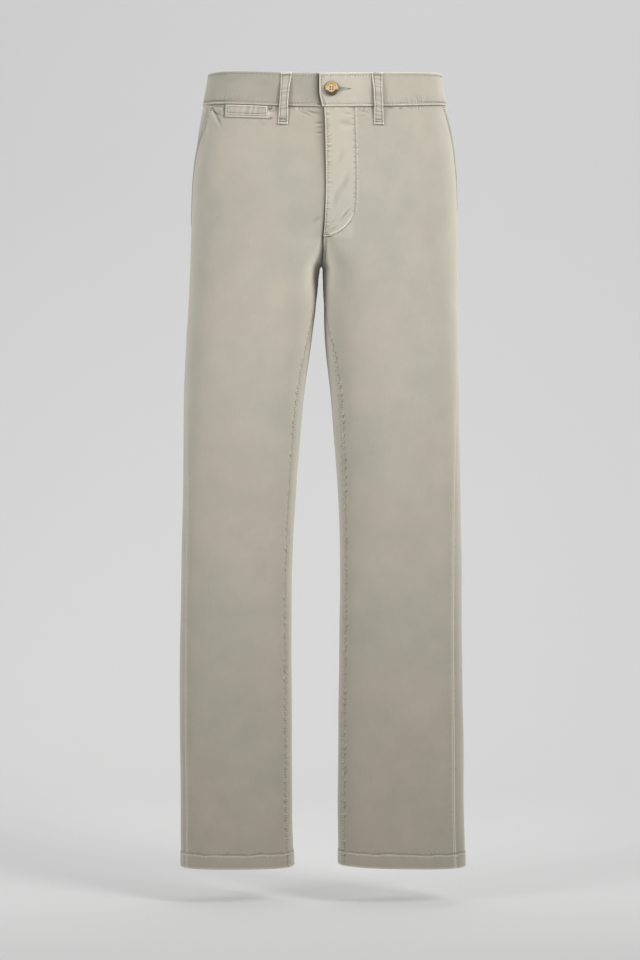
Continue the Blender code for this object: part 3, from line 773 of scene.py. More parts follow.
@dataclass(frozen=True)
class Twill:
    """Garment-dyed cotton twill: a clouded tone, ridges pale from wear and painted highlight, painted shade
    in the grooves, fine wales.

    The tone is darkened by low, as painted shade towards the hem, between the two heights of low_from.
    """

    name: str
    warm: Colour = rgb(0.474, 0.425, 0.358)
    cool: Colour = rgb(0.424, 0.412, 0.344)
    # painted shade towards the hem
    low: Colour = rgb(0.80, 0.785, 0.745)
    # ridges: wear and painted highlight
    worn_and_lit: Colour = rgb(0.740, 0.712, 0.615)
    # painted shade in grooves and dips
    dyed: Colour = rgb(0.130, 0.122, 0.088)
    wale: float = 0.62 * MM
    wale_turn: float = 62.0
    weave_depth: float = 0.07
    # scales the ridges' wear and painted highlight and the grooves' painted shade
    wear: float = 1.0
    sheen: Colour = rgb(0.95, 0.92, 0.84)
    low_from: tuple[float, float] = (-0.35, -1.02)

    def make(self) -> Material:
        """The material: colour from two noises and the relief attribute, bump from the wales.

        Returns:
            The material.
        """
        g = Graph(self.name)
        place = g.place()
        cloth = g.add("ShaderNodeUVMap", uv_map="cloth").outputs[0]
        clouds, blotches = g.noise(place, 5.5, 3.0, 0.55), g.noise(place, 26.0, 3.0, 0.6)
        slubs = g.noise(g.scaled(cloth, 900.0, 55.0, 1.0), 1.0, 2.0, 0.6)
        tone = g.sum(g.spread(clouds, 0.34, 0.66, 0.0, 0.75), g.spread(blotches, 0.35, 0.7, 0.0, 0.25))
        colour = g.blend(tone, self.cool, self.warm)
        grain, mottle = g.spread(slubs, 0.25, 0.75, 0.972, 1.024), g.spread(blotches, 0.3, 0.72, 0.955, 1.04)
        colour = g.blend(1.0, colour, g.grey(g.sum(grain, mottle, "MULTIPLY")), "MULTIPLY")
        level = g.add("ShaderNodeSeparateXYZ", {"Vector": place}).outputs["Z"]
        # painted shade: darker towards the hem
        colour = g.blend(g.spread(level, *self.low_from), colour, self.low, "MULTIPLY")
        relief = g.read("relief")
        # ridges: wear and painted highlight
        colour = g.blend(g.spread(relief, 0.5, 0.95, 0.0, 0.85 * self.wear), colour, self.worn_and_lit)
        # grooves and dips: painted shade
        colour = g.blend(g.spread(relief, 0.5, 0.05, 0.0, 0.88 * self.wear), colour, self.dyed)
        turn = (0.0, 0.0, math.radians(self.wale_turn))
        turned = g.add("ShaderNodeMapping", {"Vector": cloth, "Rotation": turn}).outputs[0]
        waves = {"Vector": turned, "Scale": math.pi / (10 * self.wale), "Distortion": 1.2, "Detail": 1.0,
                 "Detail Scale": 0.6}
        wales = g.add("ShaderNodeTexWave", waves).outputs["Fac"]
        height = g.sum(wales, g.sum(g.noise(place, 2600.0, 1.0), 0.5, "MULTIPLY"))
        return g.shade(Base_Color=colour, Roughness=g.spread(blotches, 0.3, 0.7, 0.84, 0.94),
                       Diffuse_Roughness=1.0, Specular_IOR_Level=0.2, Sheen_Weight=0.45, Sheen_Roughness=0.6,
                       Sheen_Tint=self.sheen, Normal=g.bump(self.weave_depth, 0.25 * MM, height))


@dataclass(frozen=True)
class Thread:
    """Matt sewing thread, uneven in tone, with painted shade where it dives into the cloth, its twist a fine
    bump.
    """

    name: str
    pale: Colour
    deep: Colour
    # the painted shade where the thread dives in
    hole: Colour = rgb(0.040, 0.038, 0.027)

    def make(self) -> Material:
        """The material: a noisy mix of two tones and a fine bump.

        Returns:
            The material.
        """
        g = Graph(self.name)
        place = g.place()
        colour = g.blend(g.spread(g.noise(place, 180.0), 0.35, 0.65), self.deep, self.pale)
        # painted shade at the stitch ends, where the thread dives into the cloth
        colour = g.blend(g.sum(g.read("tuck"), 0.9, "MULTIPLY"), colour, self.hole)
        twist = g.bump(0.3, 0.1 * MM, g.noise(place, 4000.0, 1.0))
        return g.shade(Base_Color=colour, Roughness=0.75, Specular_IOR_Level=0.35, Sheen_Weight=0.3,
                       Normal=twist)


@dataclass(frozen=True)
class Horn:
    """Polished horn: amber clouded with brown streaks, paler in the dish."""

    name: str
    amber: Colour = rgb(0.480, 0.340, 0.125)
    cream: Colour = rgb(0.640, 0.480, 0.300)
    brown: Colour = rgb(0.048, 0.034, 0.027)
    # painted shade in the holes
    pit_shade: Colour = rgb(0.012, 0.009, 0.006)

    def make(self) -> Material:
        """The material: streaks stretched along x, a pale dish, a foot of painted shade on the lower side
        with a dark rim, and painted shade in the pits.

        Returns:
            The material.
        """
        g = Graph(self.name)
        streaks = g.noise(g.scaled(g.place(), 120.0, 120.0, 420.0), 1.0, 4.0, 0.65)
        # brown from the streaks, and from the foot's painted shade and rim
        shade = g.sum(g.spread(streaks, 0.42, 0.68, 0.0, 0.50), g.read("foot"))
        colour = g.blend(g.spread(shade, 0.0, 1.0, 0.0, 0.96), self.amber, self.brown)
        colour = g.blend(g.sum(g.read("dish"), 0.8, "MULTIPLY"), colour, self.cream)
        # the holes: painted shade
        colour = g.blend(g.read("pit"), colour, self.pit_shade)
        return g.shade(Base_Color=colour, Roughness=g.spread(streaks, 0.3, 0.7, 0.22, 0.34),
                       Coat_Weight=0.35, Coat_Roughness=0.12, Subsurface_Weight=0.08,
                       Subsurface_Radius=(0.4, 0.2, 0.1), Subsurface_Scale=0.002)


@dataclass(frozen=True)
class Brass:
    """Antique brass: warm metal, duller in noisy patches."""

    name: str
    bright: Colour = rgb(0.62, 0.45, 0.20)
    dark: Colour = rgb(0.34, 0.24, 0.11)

    def make(self) -> Material:
        """The material: metallic, with noisy roughness and tone.

        Returns:
            The material.
        """
        g = Graph(self.name)
        dull = g.noise(g.place(), 900.0, 3.0)
        return g.shade(Base_Color=g.blend(g.spread(dull, 0.35, 0.7), self.bright, self.dark), Metallic=1.0,
                       Roughness=g.spread(dull, 0.3, 0.7, 0.28, 0.5))


@dataclass(frozen=True)
class Backdrop:
    """Matt studio paper with the faintest unevenness, unseen from behind."""

    name: str
    tone: Colour = rgb(0.45, 0.45, 0.45)
    glow: float = 0.31

    def make(self) -> Material:
        """The material: a plain tone that a broad noise moves by a hundredth.

        Its alpha is 0 where the camera looks at its back, and 1 elsewhere.

        Returns:
            The material.
        """
        g = Graph(self.name)
        seen = g.add("ShaderNodeLightPath").outputs["Is Camera Ray"]
        back = g.add("ShaderNodeNewGeometry").outputs["Backfacing"]
        tint = g.grey(g.spread(g.noise(g.place(), 0.8), 0.3, 0.7, 0.99, 1.01))
        return g.shade(Base_Color=g.blend(1.0, self.tone, tint, "MULTIPLY"), Roughness=0.95,
                       Specular_IOR_Level=0.1, Emission_Color=WHITE, Emission_Strength=self.glow,
                       Alpha=g.sum(1.0, g.sum(seen, back, "MULTIPLY"), "SUBTRACT"))


# ---------------------------------------------------------------- meshes

SHARP_ANGLE = math.radians(55)


def new_piece(name: str, points: Array, faces: list, material: Material) -> Piece:
    """A smooth-shaded object at the origin that rides on the body.

    Args:
        name: the piece's name.
        points: its corners.
        faces: corner numbers of each face.
        material: its finish.

    Returns:
        The object.
    """
    mesh = bpy.data.meshes.new(name)
    mesh.from_pydata(points.reshape(-1, 3).tolist(), [], faces)
    mesh.materials.append(material)
    mesh.shade_smooth()
    mesh.set_sharp_from_angle(angle=SHARP_ANGLE)
    piece = bpy.data.objects.new(name, mesh)
    bpy.context.scene.collection.objects.link(piece)
    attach(piece, BODY)
    return piece


def write_value(piece: Piece, name: str, values: Array) -> None:
    """Stores one number for each corner under a name that the finishes read."""
    attribute = piece.data.attributes.new(name, "FLOAT", "POINT")
    attribute.data.foreach_set("value", values.astype(np.float32).ravel())


def write_cloth_map(piece: Piece, flat: Array) -> None:
    """Stores the cloth's own coordinates, in metres across and along its grain.

    Args:
        piece: the piece.
        flat: the coordinates of each corner.
    """
    layer = piece.data.uv_layers.new(name="cloth")
    corners = np.empty(len(piece.data.loops), dtype=np.int64)
    piece.data.loops.foreach_get("vertex_index", corners)
    layer.uv.foreach_set("vector", flat.reshape(-1, 2)[corners].astype(np.float32).ravel())


def quads(rows: int, columns: int, closed: bool = False) -> Array:
    """Faces of a grid of rows by columns corners, round and back to the first column if closed.

    Args:
        rows: corners down the grid.
        columns: corners across it.
        closed: True joins the last column to the first.

    Returns:
        Four corner numbers for each face.
    """
    at = np.arange(rows * columns).reshape(rows, columns)
    if closed:
        at = np.concatenate([at, at[:, :1]], axis=1)
    return np.stack([at[:-1, :-1], at[:-1, 1:], at[1:, 1:], at[1:, :-1]], axis=-1).reshape(-1, 4)


def capped(rows: int, columns: int) -> list[list[int]]:
    """Faces of a closed grid, as quads does, with its first and last rows filled."""
    ends = [list(range(columns))[::-1], list(range((rows - 1) * columns, rows * columns))]
    return quads(rows, columns, closed=True).tolist() + ends


def flat_map(points: Array) -> Array:
    """Distances along a grid's rows and columns, which lay it out flat.

    Args:
        points: the grid's corners.

    Returns:
        Distances across from the middle column, and up from the first row.
    """
    across = np.linalg.norm(np.diff(points, axis=1), axis=-1)
    across = np.concatenate([np.zeros((len(points), 1)), np.cumsum(across, axis=1)], axis=1)
    across -= across[:, across.shape[1] // 2, None]
    up = np.linalg.norm(np.diff(points, axis=0), axis=-1)
    up = np.concatenate([np.zeros((1, points.shape[1])), np.cumsum(up, axis=0)], axis=0)
    return np.stack([across, up], axis=-1)


def rim_faces(at: Array, behind: Array) -> list[list[int]]:
    """Faces that close a shell's edge where its inner grid is coarser than its outer one.

    Args:
        at: the outer corners' numbers, rows by columns.
        behind: the inner corners' numbers at the same places, or -1 where there is none.

    Returns:
        One face to each stretch between two inner corners.
    """
    loops = [np.concatenate([grid[0, :-1], grid[:-1, -1], grid[-1, :0:-1], grid[:0:-1, 0], grid[:1, 0]])
             for grid in (at, behind)]
    edge, inner = (loop.tolist() for loop in loops)
    stops = [place for place, corner in enumerate(inner) if corner >= 0]
    return [[inner[a], inner[b]] + edge[a:b + 1][::-1] for a, b in zip(stops, stops[1:])]


def tone_of(relief: Array) -> Array:
    """The colour value of a fine relief: 0.5 on plain cloth, 1 on ridges pale from wear and painted
    highlight, 0 in grooves of painted shade.
    """
    return 0.5 + np.clip(relief / (1.0 * MM), -0.5, 0.5)


def cloth_wall(name: str, outer: Array, inner: Array, relief: Array, outward: int,
               material: Material, coarse: int = 3) -> Piece:
    """A closed thin shell between two grids, with its relief and its flat map.

    Args:
        name: the piece's name.
        outer: the outer face's points, rows by columns.
        inner: the inner face's points.
        relief: 0.5 on plain cloth, to 1 on ridges pale from wear and painted highlight and 0 in grooves of
            painted shade.
        outward: 1 if the grid's faces point outwards as they are, or -1.
        material: its finish.
        coarse: the inner face keeps one row and column in this many.

    Returns:
        The object.
    """
    rows, columns = outer.shape[:2]
    kept = [np.unique(np.append(np.arange(0, count, coarse), count - 1)) for count in (rows, columns)]
    at = np.arange(rows * columns).reshape(rows, columns)
    behind = np.full(at.shape, -1)
    behind[np.ix_(*kept)] = at.size + np.arange(len(kept[0]) * len(kept[1])).reshape(len(kept[0]), -1)
    rim = rim_faces(at, behind)
    back = quads(len(kept[0]), len(kept[1]))[:, ::-1] + at.size
    faces = [face[::outward] for face in quads(rows, columns).tolist() + back.tolist() + rim]
    inner, flat = inner[np.ix_(*kept)], flat_map(outer)
    points = np.concatenate([outer.reshape(-1, 3), inner.reshape(-1, 3)])
    piece = new_piece(name, points, faces, material)
    write_cloth_map(piece, np.concatenate([flat.reshape(-1, 2), flat[np.ix_(*kept)].reshape(-1, 2)]))
    write_value(piece, "relief", np.concatenate([relief.ravel(), np.full(inner[..., 0].size, 0.5)]))
    return piece


def tube(name: str, sections: Array, relief: Array, outward: int, material: Material) -> Piece:
    """A closed section carried along a path, with flat ends.

    Args:
        name: the piece's name.
        sections: points, one closed section to a row.
        relief: the same shape, as for cloth_wall.
        outward: 1 or -1, as for cloth_wall.
        material: its finish.

    Returns:
        The object.
    """
    faces = [face[::outward] for face in capped(*sections.shape[:2])]
    piece = new_piece(name, sections, faces, material)
    write_cloth_map(piece, flat_map(sections))
    write_value(piece, "relief", relief)
    return piece


# ---------------------------------------------------------------- sewing


BOW = np.array([
    # place along, thickness, height, darkness of the painted shade where it dives in
    [-0.71, 1.35, -0.25, 1.0],
    [-0.54, 1.50, 0.00, 1.0],
    [-0.30, 1.00, 0.25, 0.0],
    [0.30, 1.00, 0.25, 0.0],
    [0.54, 1.50, 0.00, 1.0],
    [0.71, 1.35, -0.25, 1.0],
])


@dataclass
class Needlework:
    """Stitches gathered from several lines and made as one mesh.

    A stitch is a thread bent like a bow: rings of a few points whose height falls at both ends, so
    that it goes into the cloth.
    """

    name: str
    thread: Material
    slot: str = "thread"
    length: float = 2.5 * MM
    space: float = 1.1 * MM
    radius: float = 0.38 * MM
    sides: int = 5
    lift: float = 0.12 * MM
    rows: list[tuple[Array, ...]] = field(default_factory=list)

    def row(self, line: Array, out: Array, turn: bool = False, length: float | None = None,
            pitch: float | None = None, radius: float = 1.0) -> None:
        """Sews along a line.

        Args:
            line: points on the cloth.
            out: the cloth's normals there.
            turn: True lays each stitch across the line, as in a bar tack.
            length: a stitch's length, if not the usual one.
            pitch: the spacing of stitches, if not the usual one.
            radius: the thread's radius as a share of the usual one.
        """
        length = length or self.length
        pitch = pitch or length + self.space
        way = travelled(line)
        count = max(2, int(way[-1] / pitch))
        at = (np.arange(count) + 0.5) * way[-1] / count
        ahead = read_off(line, way, at + pitch / 2) - read_off(line, way, at - pitch / 2)
        normal = unit(read_off(out, way, at))
        run = unit(np.cross(normal, ahead)) if turn else unit(ahead)
        sizes = np.full((2, count, 1), [[[length]], [[radius * self.radius]]])
        self.rows.append((read_off(line, way, at), run, normal, *sizes))

    def row_on(self, surface: tuple[Array, Array], turn: bool = False, **sizes: float) -> None:
        """Sews along a line given as a surface's points and normals, a little above it."""
        points, normals = surface
        self.row(points + normals * self.lift, normals, turn, **sizes)

    def make(self) -> Piece:
        """The one mesh of all the stitches, every one the same bow moved and turned by arrays.

        Returns:
            The object.
        """
        middle, run, out, length, radius = (np.concatenate(part)[:, None] for part in zip(*self.rows))
        station, thick, sink, tuck = np.repeat(BOW, self.sides, axis=0).T[..., None]
        turn = np.tile(np.arange(self.sides) * 2 * math.pi / self.sides, len(BOW))[:, None]
        points = (middle + run * station * length + np.cross(out, run) * np.cos(turn) * thick * radius
                  + out * (np.sin(turn) * thick + sink) * radius)
        bow = [face[::-1] for face in capped(len(BOW), self.sides)]
        starts = range(0, points[..., 0].size, points.shape[1])
        faces = [[corner + start for corner in face] for start in starts for face in bow]
        piece = new_piece(self.name, points, faces, self.thread)
        write_value(piece, "tuck", np.broadcast_to(tuck[:, 0], points.shape[:2]))
        return piece


# ---------------------------------------------------------------- panels


@dataclass(frozen=True)
class Crease:
    """A thin little fold between two points of the front, in x and z, that bends and tapers to its ends."""

    x0: float
    z0: float
    x1: float
    z1: float
    width: float
    depth: float
    bend: float = 0.0


CREASES = {
    Side.RIGHT: tuple(Crease(*row) for row in (
        (-0.1545, -0.010, -0.1320, -0.0540, 0.0016, 0.00105, 0.04),
        (-0.1440, -0.016, -0.1330, -0.0400, 0.0016, 0.00040, 0.04),
        (-0.1480, -0.0215, -0.1325, -0.0345, 0.0013, 0.00085, -0.06),
        (-0.1450, -0.0200, -0.1290, -0.0225, 0.0012, 0.00070, 0.05),
        (-0.0720, -0.0230, -0.0655, -0.0335, 0.0012, 0.00070, 0.08),
        (-0.0680, -0.0215, -0.0605, -0.0300, 0.0012, 0.00060, -0.06),
        (-0.0830, -0.041, -0.0750, -0.0500, 0.0013, 0.00040, -0.08),
        (-0.0360, -0.029, -0.0110, -0.0405, 0.0011, 0.00065, 0.06),
        (-0.0300, -0.0265, -0.0015, -0.0320, 0.0012, 0.00060, -0.05),
        (-0.0240, -0.0310, -0.0010, -0.0365, 0.0013, 0.00050, 0.04),
        (-0.0140, -0.0470, -0.0004, -0.0455, 0.0013, 0.00070, 0.08),
        (-0.0120, -0.0515, -0.0004, -0.0510, 0.0011, 0.00045, 0.00),
        (-0.0130, -0.0575, -0.0004, -0.0572, 0.0012, 0.00070, -0.06),
        (-0.0160, -0.1760, -0.0010, -0.1660, 0.0030, 0.00035, 0.05),
    )),
    Side.LEFT: tuple(Crease(*row) for row in (
        (0.0375, -0.1535, 0.0195, -0.1755, 0.0014, 0.00062, -0.04),
        (0.0445, -0.1550, 0.0385, -0.1545, 0.0009, 0.00060, 0.00),
        (0.0330, -0.1060, 0.0180, -0.1420, 0.0034, 0.00034, 0.05),
        (0.0240, -0.1200, 0.0120, -0.1640, 0.0032, 0.00030, -0.04),
        (0.0250, -0.0760, 0.0170, -0.1020, 0.0030, 0.00026, 0.06),
        (0.0180, -0.1780, 0.0070, -0.1850, 0.0011, 0.00055, 0.00),
        (0.0160, -0.1700, 0.0080, -0.1750, 0.0010, 0.00040, 0.00),
        (0.0160, -0.0440, 0.0400, -0.0480, 0.0034, 0.00040, 0.05),
        (0.0210, -0.0300, 0.0400, -0.0335, 0.0016, 0.00040, -0.05),
        (0.0420, -0.0290, 0.0620, -0.0330, 0.0014, 0.00045, 0.05),
        (0.0430, -0.0355, 0.0560, -0.0360, 0.0013, 0.00040, 0.00),
    )),
}


@dataclass(frozen=True)
class StitchedEdge:
    """The fine relief along a turned and stitched edge, all in millimetres but the slant and seed.

    A ditch runs on the edge and a ridge beside it, pale from wear and painted highlight, a groove under each
    stitch row, waves between the rows, and puckers leave the last one. The ditch and grooves take painted
    shade.
    """

    rows: tuple[float, ...]
    seed: int
    pucker: float = 0.5
    pitch: float = 9.0
    reach: float = 6.0
    slant: float = 0.4
    ditch: float = 0.45
    worn_and_lit: float = 0.30
    groove: float = 0.26
    width: float = 1.1
    rise: float = 0.4

    def marks(self, off: Array, along: Array, seed: int) -> Array:
        """The fine relief.

        Args:
            off: distance from the edge, in metres.
            along: distance along it.
            seed: the piece's own, added to its seed.

        Returns:
            Heights in metres.
        """
        last, seed = self.rows[-1], seed + self.seed
        grooves = ((-self.groove, row, 0.5) for row in self.rows)
        lift = beads(off, (self.worn_and_lit, 1.1, 0.8), (-self.ditch, 0.0, 0.5), *grooves)
        puckers = Puckers(0, self.pucker, self.pitch, last - 0.8, self.reach, self.width, self.slant)
        waves = 0.4 * self.pucker * MM * gathers(along - 0.3 * off, 0.8 * self.pitch * MM, seed + 1)
        between = smooth((last * MM - off) / (1.5 * MM)) * smooth(off / (1.5 * MM))
        return lift + puckers.lift(along, off, seed) + waves * between

    def step(self, off: Array) -> Array:
        """The turned edge's layer: rounded at the edge, and level to its last stitch row."""
        inside = smooth((self.rows[-1] * MM + 0.9 * MM - off) / (1.5 * MM))
        return self.rise * MM * np.sqrt(np.clip(off / (0.8 * MM), 0.0, 1.0)) * inside


@dataclass
class Panel:
    """A front or a back: a shell between two seams, from the hem to the waistband.

    Subclasses say where the seams are and add their own relief.
    """

    side: Side
    cloth: Material
    thickness: float = 1.4 * MM
    hem_depth: float = 20 * MM
    hem_extra: float = 0.7 * MM
    fit_height: float = 0.132
    hem_fit_height: float = 0.200
    soft: float = 0.9 * MM
    hem_fold: tuple[Bead, ...] = ((0.26, -1.7, 0.9), (-0.46, 0.0, 0.75))
    hem_edge: tuple[Bead, ...] = ((0.20, 1.0, 0.9),)
    hem_over: Puckers = Puckers(22, 0.26, 6.5, -0.4, 6.0, slant=0.25)
    hem_under: Puckers = Puckers(24, 0.18, 8.0, 1.0, 6.0, slant=-0.3)
    # a ditch under the waistband, painted dark as the band's shadow
    waist_ditch: tuple[Bead, ...] = ((-0.60, 0.0, 1.0),)
    waist_puckers: Puckers = Puckers(23, 1.0, 6.0, 0.6, 7.0, slant=0.3)
    hem_reach: float = 50 * MM
    waist_reach: float = 30 * MM
    inner_relief: float = 0.4
    # how strongly the creases paint shade in their troughs
    fold_shading: float = 0.38
    seed: int = 0

    def first(self, z: Array) -> Array:
        """u of the panel's outer edge."""
        raise NotImplementedError

    def last(self, z: Array) -> Array:
        """u of the panel's centre or inner edge."""
        raise NotImplementedError

    def shares(self) -> tuple[Array, Array]:
        """The spacing of the grid's columns and rows, as shares from 0 to 1."""
        raise NotImplementedError

    def details(self, u: Array, z: Array) -> Array:
        """The panel's own fine relief, in metres."""
        raise NotImplementedError

    def base(self, u: Array, z: Array) -> Array:
        """The broad steps: the hem's second layer, and what the panel adds.

        Args:
            u: place round the section.
            z: height.

        Returns:
            Heights in metres.
        """
        k = z - FIGURE.hem_line(self.side, u)
        row = self.hem_row(u * FIGURE.fold_metres_per_u)
        round_edge = np.sqrt(np.clip(k / (1.0 * MM), 0.0, 1.0))
        return self.hem_extra * smooth((row + 1.2 * MM - k) / (1.6 * MM)) * round_edge

    @property
    def start_seed(self) -> int:
        """A different seed for each panel."""
        return self.seed + (50 if self.side is Side.LEFT else 0)

    def softness(self, u: Array, z: Array) -> Array:
        """The cloth's slow unevenness: long waves down the leg, drifting sideways, flat by the seams.

        Args:
            u: place round the section.
            z: height.

        Returns:
            Heights in metres.
        """
        seed, per_u = self.start_seed, FIGURE.fold_metres_per_u
        across = u * per_u
        drift = 0.030 * wander(z, 0.19, seed + 11)
        waves = wander(across + drift + 0.25 * z, 0.075, seed + 12)
        waves = waves * (0.6 + 0.4 * wander(z, 0.16, seed + 13))
        level = wander(z + 0.5 * across, 0.12, seed + 14) * wander(across, 0.11, seed + 15)
        from_edge = np.minimum(np.abs(u - self.first(z)), np.abs(u - self.last(z))) * per_u
        from_band = FIGURE.waist_seam(self.side, u) - z
        held = smooth((from_edge - 1 * MM) / (9 * MM)) * smooth((from_band - 1 * MM) / (9 * MM))
        return self.soft * (0.55 * waves + 0.6 * level) * held

    def on_leg(self, z: Array) -> Array:
        """1 on the leg and 0 above the crotch."""
        return smooth((FIGURE.crotch + 4 * MM - z) / (14 * MM))

    def tint(self, u: Array, z: Array) -> Array:
        """What darkens (under 0) or lightens (over 0) the cloth without raising it, in metres of relief,
        such as painted shade and painted light.
        """
        return np.zeros(np.broadcast(u, z).shape)

    def shape(self, u: Array, z: Array) -> Array:
        """Folds that are raised, and coloured only a little, as painted shade in their troughs."""
        return np.zeros(np.broadcast(u, z).shape)

    def relief(self, u: Array, z: Array) -> Array:
        """The fine relief that also sets the colour: hem, waist seam and the panel's own.

        Args:
            u: place round the section.
            z: height.

        Returns:
            Heights in metres.
        """
        k = z - FIGURE.hem_line(self.side, u)
        h = FIGURE.waist_seam(self.side, u) - z
        along, seed = u * FIGURE.fold_metres_per_u, self.start_seed
        over = k - self.hem_row(along)
        hem = (beads(over, *self.hem_fold) + beads(k, *self.hem_edge) + self.hem_over.lift(along, over, seed)
               + self.hem_under.lift(along, -over, seed))
        pulled = 0.20 + 0.30 * smooth(0.5 + wander(along, 0.05, seed + 25))
        waist = pulled * self.waist_puckers.lift(along, h, seed) + beads(h, *self.waist_ditch)
        hem, waist = np.where(k < self.hem_reach, hem, 0.0), np.where(h < self.waist_reach, waist, 0.0)
        return hem + waist + self.details(u, z)

    def hem_row(self, along: Array) -> Array:
        """Height of the hem's stitch row over its edge."""
        return self.hem_depth - 0.5 * MM + 1.2 * MM * wander(along, 0.03, self.start_seed + 21)

    def height(self, u: Array, z: Array) -> Array:
        """The whole lift above the folded outer face."""
        return self.base(u, z) + self.relief(u, z) + self.shape(u, z) + self.softness(u, z)

    def grid(self) -> tuple[Array, Array]:
        """u and z of the panel's grid, fitted to its seams, its hem and the waist seam.

        Returns:
            Two arrays, rows from the hem up by columns from the first edge to the last.
        """
        columns, rows = self.shares()
        figure, side = FIGURE, self.side
        levels = figure.hem + (figure.waist_line - figure.hem) * rows
        first, last = self.first(levels), self.last(levels)
        way = np.sign(last - first)
        start = first + way * figure.half_seam / figure.rate(side, first, levels)
        end = last - way * figure.half_seam / figure.rate(side, last, levels) * (levels < figure.crotch)
        u = start[:, None] + (end - start)[:, None] * columns
        hem_share = smooth(1.0 - (levels - figure.hem) / self.hem_fit_height)[:, None]
        z = figure.fitted(side, u, levels, self.fit_height)
        return u, z + hem_share * (figure.hem_line(side, u) - figure.hem)

    def surface(self, u: Array, z: Array) -> tuple[Array, Array]:
        """Points and normals of the finished outer face, for what is sewn on it."""
        return FIGURE.lifted(self.side, u, z, self.height(u, z)), FIGURE.normals(self.side, u, z)

    def build(self, name: str) -> Piece:
        """The panel's shell.

        Args:
            name: the piece's name.

        Returns:
            The object.
        """
        u, z = self.grid()
        relief, shape = self.relief(u, z), self.shape(u, z)
        broad = self.base(u, z) + self.softness(u, z)
        k = z - FIGURE.hem_line(self.side, u)
        thick = self.thickness + 1.0 * MM * smooth((self.hem_depth + 1 * MM - k) / (2 * MM))
        outer = FIGURE.lifted(self.side, u, z, broad + relief + shape)
        inner = FIGURE.lifted(self.side, u, z, broad + self.inner_relief * relief - thick)
        backwards = np.mean(self.last(z[:, 0]) - self.first(z[:, 0])) > 0
        outward = self.side.value if backwards else -self.side.value
        # colour: the fine relief, the creases' painted shade, and the tint's painted shade and light
        tone = tone_of(relief + self.fold_shading * shape + self.tint(u, z))
        return cloth_wall(name, outer, inner, tone, outward, self.cloth)

    def sew(self, work: Needlework, u: Array, z: Array, turn: bool = False, **sizes: float) -> None:
        """Adds a row of stitches on the panel."""
        work.row_on(self.surface(u, z), turn, **sizes)

    def sew_hem(self, work: Needlework) -> None:
        """The hem's row, all round the panel.

        Args:
            work: gathers the stitches.
        """
        z = np.full(160, FIGURE.hem + 19.5 * MM)
        first, last = self.first(z), self.last(z)
        u = first + (last - first) * np.linspace(0.004, 0.996, len(z))
        row = FIGURE.hem_line(self.side, u) + self.hem_row(u * FIGURE.fold_metres_per_u)
        self.sew(work, u, row, radius=0.55)


